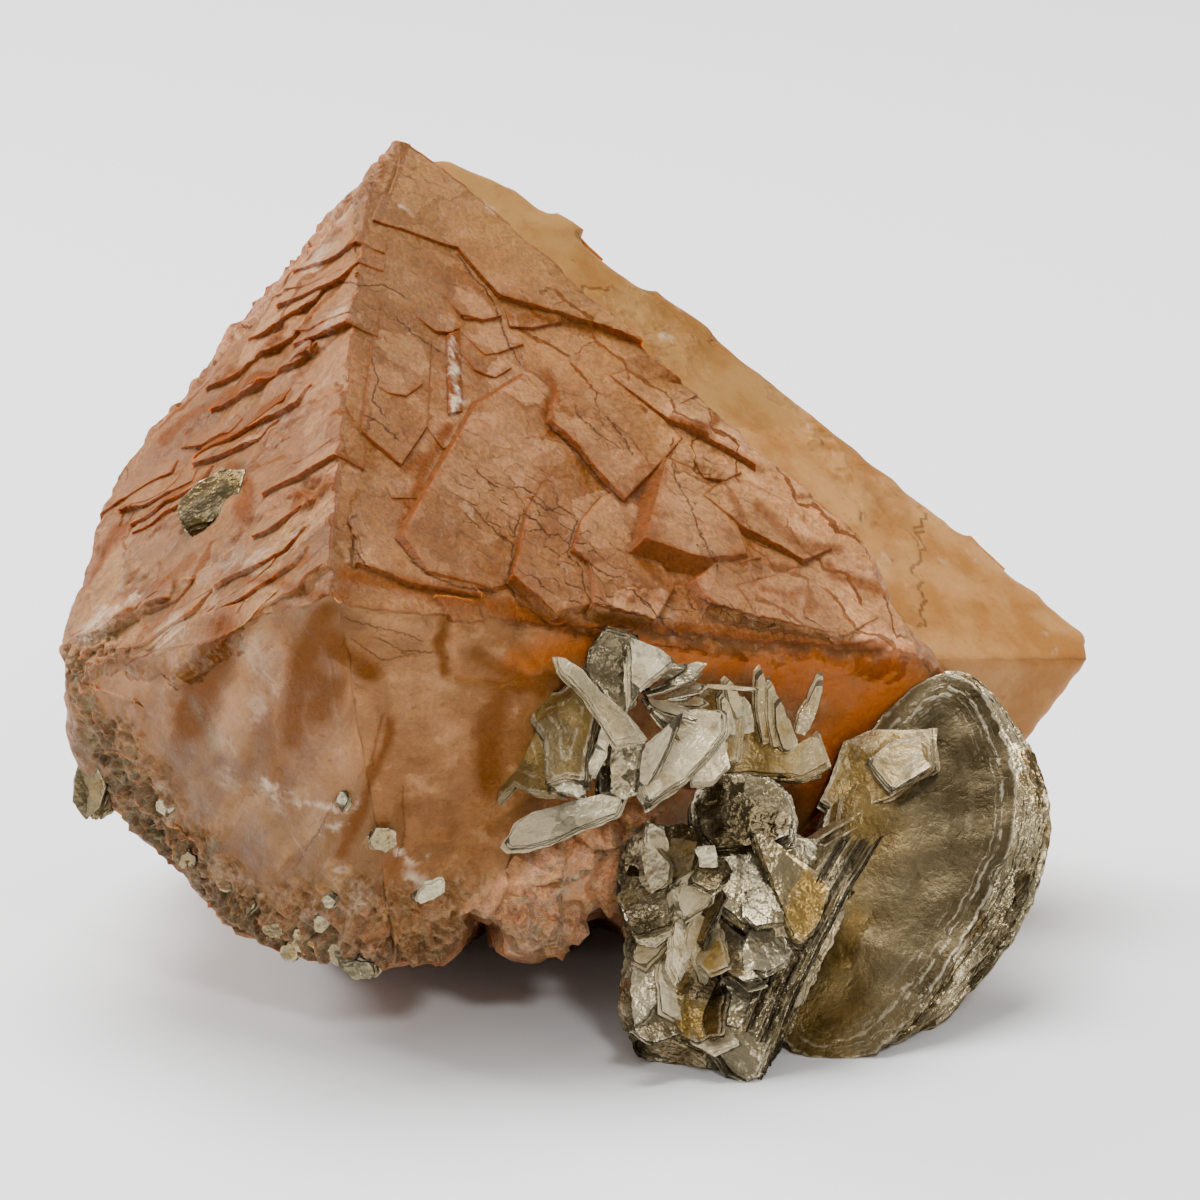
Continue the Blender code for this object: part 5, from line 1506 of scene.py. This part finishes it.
fanLeaves = [
    {"seed": 41, "at": (20.6, -12.1, 12.2), "normal": (-0.2, 0.35, 0.92), "sheets": 8, "thick": 0.121,
     "wave": 0.5, "tint": 0.8, "dark": 0.15, "glow": 1.5,
     "outline": [(17.6, -12.8), (18.4, -10.7), (20.1, -9.8), (22.5, -9.8), (24.6, -9.8), (24.8, -12.6),
                 (23.4, -13.5), (21.9, -14.8), (19.9, -15.4), (18, -15.9), (16.6, -15)]},
    {"seed": 42, "at": (22.1, -11.7, 13.0), "normal": (0.0, 0.45, 0.9), "sheets": 7, "thick": 0.099,
     "wave": 0.3, "tint": 0.6, "dark": 0.05, "glow": 1.5,
     "outline": [(20.2, -12), (21.8, -10.8), (24.6, -9.9), (24.8, -12.4), (23.4, -13.3), (21.9, -14.2)]},
    {"seed": 43, "at": (24.1, -14.7, 11.6), "normal": (0.2, 0.3, 0.93), "sheets": 8, "thick": 0.11,
     "wave": 0.5, "tint": 0.9, "dark": 0.45,
     "outline": [(24.6, -10.5), (25.6, -12), (26.4, -15.8), (25.9, -17.8), (23.8, -18.3), (21.9, -17.2),
                 (22.8, -15), (24, -13.5)]},
    {"seed": 44, "at": (24.4, -18.2, 13.0), "normal": (0.1, 0.3, 0.95), "sheets": 5, "thick": 0.088,
     "tint": 0.7, "dark": 0.0,
     "outline": [(24.1, -17.8), (25.2, -17.6), (25.8, -18.9), (25.5, -19.5), (24.4, -19.2)]},
]
needleLook = {"count": 13, "length": (5.0, 10.0), "width": 1.0, "thick": 0.1}


# every corner is cut twice, a quarter of the way along its sides
def smoothRim(rim):
    for _ in range(2):
        after = np.roll(rim, -1, axis=0)
        rim = np.stack([0.75 * rim + 0.25 * after, 0.25 * rim + 0.75 * after], axis=1).reshape(-1, 2)
    return rim


fanBook = newStore()
fanFace = turnedTo(fanLook["lean"])
rng = np.random.default_rng(31)
for k in range(fanLook["sheets"]):
    share = k / (fanLook["sheets"] - 1)
    rim = smoothRim(np.array(fanLook["frontRim"]) * (1 - share) + np.array(fanLook["rearRim"]) * share)
    u, v, w = fanLook["at"]
    origin = spot(u, v, w - fanLook["deep"] * share)
    home = sheetHome(fanFace, origin)
    loop = outlineIn(home, [foot((fanFace, fanFace.dot(origin)), u, v, 0.0) for u, v in rim])
    layer = raggedLoop(loop * (1 + 0.01 * rng.uniform(-1, 1)), fanLook["rag"], 60 + k, fanLook["rimStep"])
    spacing = fanLook["outer"] if k in (0, fanLook["sheets"] - 1) else fanLook["inner"]
    finish = (0.5, 0.40, 1.0) if k else (0.5, 0.8, 2.0)
    addSheet(fanBook, home, layer, 0.0, fanLook["thick"], fanLook["bend"], fanLook["wave"], 7, finish, k,
             spacing)
across = (fanBook["points"][0] @ np.array(axisU) - fanLook["goldenTo"]) / fanLook["darkOver"]
across = np.tile(np.clip(across, 0, 1), 2)
fanBook["tint"][0] = 1.0 - 0.5 * across
fanBook["dark"][0] = 0.54 + 0.50 * across
for row in fanLeaves:
    micaLeaf(fanBook, **row)
rng = np.random.default_rng(33)
for k in range(needleLook["count"]):
    share = k / (needleLook["count"] - 1)
    way = math.radians(30 - 34 * share + rng.uniform(-3, 3))
    u = 13.6 + 2.4 * rng.random()
    v = -18.2 + rng.uniform(-0.6, 0.6) - 0.5 * share
    size = rng.uniform(*needleLook["length"])
    end = (u + size * math.cos(way), v + size * math.sin(way), 12.4 - 0.1 * k)
    face = (-math.sin(way), math.cos(way), 0.35 + 0.4 * rng.random())
    micaBlade(fanBook, (u, v, 14.6 - 0.1 * k), end, needleLook["width"], face, 2, needleLook["thick"],
              tint=0.5, dark=0.1 + 0.6 * rng.random(), seed=140 + k)
storeObject(fanBook, "fan_book", "muscovite_fan_book")

# rear rosette: a pile of round books, and a ring of smaller ones that lean outwards
rearLook = {"books": 6, "at": (23.6, -20.5, -17.6), "step": 1.25, "normal": (0.35, -0.1, -0.9), "radius": 6.6,
            "ring": 10, "ringAt": (24.6, -19.6, -25.4), "ringSize": (3.4, 3.2), "ringRadius": 4.0}
rear = newStore()
u, v, w = rearLook["at"]
for k in range(rearLook["books"]):
    micaStack(rear, spot(u, v, w - rearLook["step"] * k), turnedTo(rearLook["normal"]),
              rearLook["radius"] - 0.3 * (k % 3), 6, 0.18, 1.1, 8 * k, 8, 0.2, 0.4, tint=0.4, dark=0.3,
              seed=200 + k)
u, v, w = rearLook["ringAt"]
for k in range(rearLook["ring"]):
    turn = math.radians(36 * k)
    c = math.cos(turn)
    s = math.sin(turn)
    at = spot(u + rearLook["ringSize"][0] * c, v + rearLook["ringSize"][1] * s, w - 0.3 * (k % 4))
    micaStack(rear, at, turnedTo((0.3 + 0.8 * c, 0.1 + 0.8 * s, -0.7)), rearLook["ringRadius"], 6, 0.16, 1.2,
              36 * k, 6, 0.15, 0.3, tint=0.35, dark=0.2, seed=210 + k)
storeObject(rear, "rear_rosette", "muscovite_rear_rosette")

# the two flakes that sit on the crystal's faces
flakeLook = {
    "left_flake": {"face": "leftUpper", "at": (-27.6, 6.9), "rise": 0.9, "turned": (-0.5, 0.66, 0.6),
                   "stack": {"radius": 2.7, "sheets": 9, "thick": 0.2, "stretch": 1.1, "spin": 30, "sides": 9,
                             "rag": 0.15, "wave": 0.3, "tint": 0.95, "dark": 0.80, "seed": 230}},
    "edge_flake": {"face": "leftLower", "at": (-37.2, -13.6), "rise": 0.5, "turned": (-0.7, -0.2, 0.7),
                   "stack": {"radius": 1.8, "sheets": 8, "thick": 0.2, "stretch": 1.3, "spin": 60, "sides": 7,
                             "rag": 0.15, "wave": 0.2, "tint": 0.6, "dark": 0.85, "seed": 231}},
}
for name, row in flakeLook.items():
    flake = newStore()
    at = foot(faces[row["face"]], *row["at"], row["rise"])
    micaStack(flake, at, turnedTo(row["turned"]), **row["stack"])
    storeObject(flake, name, "muscovite_" + name)

# loose bits in the crust along the lower left edge: point on the sheet, radius, stretch, turn, tint, dark
bitLook = [
    ((383, 838), 0.95, 1.3, 20, 0.4, 0.55), ((430, 888), 0.85, 1.9, 20, 0.1, 0.0),
    ((345, 800), 0.5, 2.0, 70, 0.2, 0.2), ((166, 803), 0.8, 1.6, 60, 0.4, 0.15),
    ((322, 922), 0.8, 1.3, 80, 0.4, 0.4), ((345, 955), 1.35, 1.2, 10, 0.5, 0.5),
    ((305, 940), 1.1, 1.4, 40, 0.5, 0.5), ((278, 925), 1.0, 1.5, 30, 0.5, 0.6),
    ((245, 905), 0.9, 1.5, 40, 0.5, 0.7), ((362, 968), 1.0, 1.5, 0, 0.4, 0.45),
    ((226, 880), 0.8, 1.2, 70, 0.5, 0.3), ((190, 860), 0.8, 1.6, 50, 0.5, 0.7),
    ((330, 900), 0.6, 1.4, 30, 0.4, 0.2), ((160, 830), 0.7, 1.5, 45, 0.5, 0.8),
    ((290, 952), 0.8, 1.4, 30, 0.5, 0.5),
]
bitStack = {"scale": 0.85, "sheets": 4, "thick": 0.14, "rise": 0.15, "lean": 0.3, "girdleAt": 370}
bits = newStore()
for k, (place, radius, stretch, spin, tint, dark) in enumerate(bitLook):
    plane = faces["frontLower" if place[0] > bitStack["girdleAt"] else "leftLower"]
    sway = axisU * (bitStack["lean"] * math.sin(k * 2.1)) + axisV * (bitStack["lean"] * math.cos(k * 3.7))
    micaStack(bits, seen(*onSheet(*place), plane) + plane[0] * bitStack["rise"],
              (plane[0] + axisW * 0.5 + sway).normalized(), radius * bitStack["scale"], bitStack["sheets"],
              bitStack["thick"], stretch, spin, 7, 0.28, 0.1, tint, dark, seed=300 + k)
storeObject(bits, "mica_bits", "muscovite_edge_flake")

# floor, light and camera
roomLook = {"floor": (0.86, 0.86, 0.86), "air": 0.62}
lightLook = {                # place, aim, width, watts
    "topBox": ((-0.1, 0.15, 0.75), (0, 0, 0.02), 0.6, 12.0),
    "leftBox": ((-0.55, 0.25, 0.40), (0, 0, 0.03), 0.22, 4.0),
    "frontBox": ((0.2, -0.7, 0.5), (0, 0, 0.02), 0.12, 2.6),
}
cameraLook = {"lens": 240.0, "sensor": 36.0, "from": 0.01}
bpy.ops.object.select_all(action="DESELECT")
bpy.ops.mesh.primitive_plane_add(size=4.0, location=(0, 0, 0))
floor = bpy.context.object
floor.name = "floor"
paleFloor, tree, shader = newMaterial("paleFloor")
shader.inputs["Base Color"].default_value = (*roomLook["floor"], 1)
shader.inputs["Roughness"].default_value = 0.8
floor.data.materials.append(paleFloor)

world = bpy.data.worlds.new("studio")
bpy.context.scene.world = world
world.use_nodes = True
world.node_tree.nodes["Background"].inputs[0].default_value = (1, 1, 1, 1)
world.node_tree.nodes["Background"].inputs[1].default_value = roomLook["air"]
for name, (place, aim, width, power) in lightLook.items():
    light = bpy.data.lights.new(name, "AREA")
    light.shape = "DISK"
    light.size = width
    light.energy = power
    box = bpy.data.objects.new(name, light)
    box.location = place
    box.rotation_euler = (Vector(aim) - Vector(place)).to_track_quat("-Z", "Y").to_euler()
    bpy.context.scene.collection.objects.link(box)

camera = bpy.data.cameras.new("camera")
camera.lens = cameraLook["lens"]
camera.sensor_width = cameraLook["sensor"]
camera.clip_start = cameraLook["from"]
view = bpy.data.objects.new("camera", camera)
view.location = (zero + axisW * frontFrame["eye"]) * mm
view.rotation_euler = (-axisW).to_track_quat("-Z", "Y").to_euler()
bpy.context.scene.collection.objects.link(view)
bpy.context.scene.camera = view
print("floor, lights and camera are in place")
